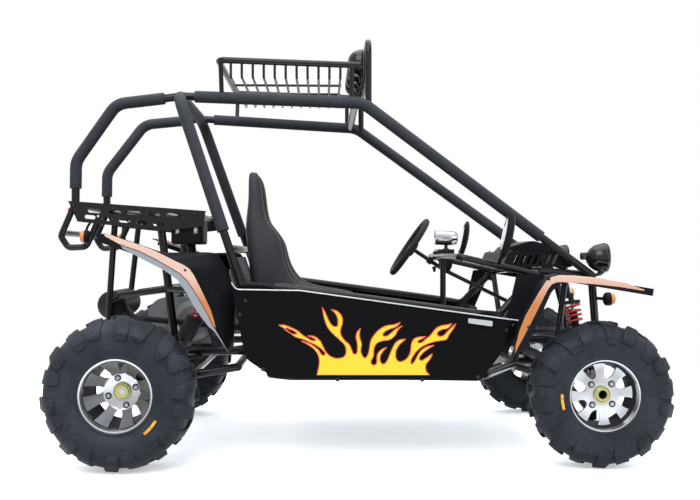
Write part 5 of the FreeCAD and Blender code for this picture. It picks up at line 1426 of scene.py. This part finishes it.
FENDER_FRONT, FENDER_REAR = [(694, 690), (620, 520)], [(-610, 722), (-505, 490)]
CARRIER = [(-1096, 974), (-940, 958), (-780, 947), (-620, 936)]
spots = []
for side in (1, -1):
    for z in (684, 716):
        place = on_hoop(z)
        spots.append(((place.x + 2, side * (place.y + 15.4), place.z), (0, side, 0)))
    for y, places in ((690.4, FENDER_FRONT), (617.4, FENDER_REAR), (301, CARRIER)):
        spots += [((x, side * y, z), (0, side, 0)) for x, z in places]
bolts("frame_bolts", spots, "frame_black")
nose_spots = [((x, y, 790), (0, 0, 1)) for x in (652, 843) for y in (-240, 240)]
bolts("nose_bolts", nose_spots, "moulded_plastic")
print("bolts", len(spots) + len(nose_spots))

# %% Levers beside the steering column
lever_box = loft("lever_box", [
    [(424, 162, 694), (452, 162, 694), (452, 196, 694), (424, 196, 694)],
    [(414, 152, 722), (466, 152, 722), (466, 204, 722), (414, 204, 722)],
    [(408, 150, 768), (474, 150, 768), (474, 206, 768), (408, 206, 768)]])
soften(lever_box, 4 * MM, 3)
levers = [lever_box]
for y, tip in ((164, (384, 160, 718)), (192, (392, 196, 706))):
    levers.append(tube("lever", [(418, y, 734), (400, y, 728), tip], 3.4, bend=8, sides=4))
    levers.append(ball("lever_knob", tip, 7, detail=16))
levers = join("column_levers", levers)
moulding.on(smooth(levers, 40))
carry("chassis", "frame_black", levers)
print("levers made")

# %% Switches on the control box
knobs = [turned("switch_knob", [(0, 9), (5, 9), (7, 7), (8, 0), (0, 0)], (405, y, z), (-1, 0, 0), 20)
         for y, z in ((195, 786), (220, 786), (195, 764), (282, 786))]
key = turned("ignition", [(0, 4), (9, 4), (11, 2), (11, 0), (0, 0)], (405, 270, 765), (-1, 0, 0), 28)
knobs = join("switch_knobs", knobs)
moulding.on(smooth(knobs, 40))
chrome.on(smooth(key, 40))
carry("chassis", "frame_black", knobs, key)
print("switches made")

# %% [markdown]
# ## Pads of the pedals
# Ribbed rubber pads are pushed over the pedal plates.
# %% Make the pedal pads
pads = []
for y in (110, 190):
    pads.append(soften(brick("pedal_pad", (555.5, y - 30, 479), (558.2, y + 30, 545)), 1.2 * MM, 2))
    for step in range(6):
        z = 485 + step * 10.5
        pads.append(brick("pedal_rib", (554.2, y - 26, z), (556.5, y + 26, z + 4)))
pads = join("pedal_pads", pads)
grip_foam.on(smooth(pads, 40))
carry("chassis", "grip_rubber", pads)
print("pedal pads made")

# %% [markdown]
# ## Finishes for the CAD nodes that stay
# Tubes, plates and castings whose CAD shape is already right only need their paint or metal.
# %% Paint the nodes
PAINTED = (
    (frame_paint, """main_hoop side_frame_left side_frame_right floor_frame nose_frame engine_cradle
        cage_crossbar roof_rail_left roof_rail_right rear_stay_left rear_stay_right dash_bar seat_frames
        roof_rack light_guard rear_carrier rear_bumper swing_arm front_arms_left front_arms_right
        lower_shaft"""),
    (moulding, """front_fender_left front_fender_right rear_fender_left rear_fender_right
        front_post_panel_left front_post_panel_right nose_cover mirrors roof_lamps headlamps air_box"""),
    (panel_paint, "side_panel_left side_panel_right"),
    (leatherette, "seat_left seat_right"),
    (engine_black, "muffler steering_gear pedals"),
    (steel, "rear_axle knuckle_left knuckle_right tie_rods"),
    (spring_red, "rear_shocks front_shocks"),
    (cage_foam, "cage_pads"), (tread_sheet, "floor_pan"), (chrome, "speedometer"),
    (amber_lens, "turn_signals"), (cast_alloy, "engine"), (grip_foam, "steering_wheel"))
painted = 0
for finish, names in PAINTED:
    for name in names.split():
        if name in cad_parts:
            finish.on(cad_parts[name])
            painted += 1
print("nodes painted", painted)
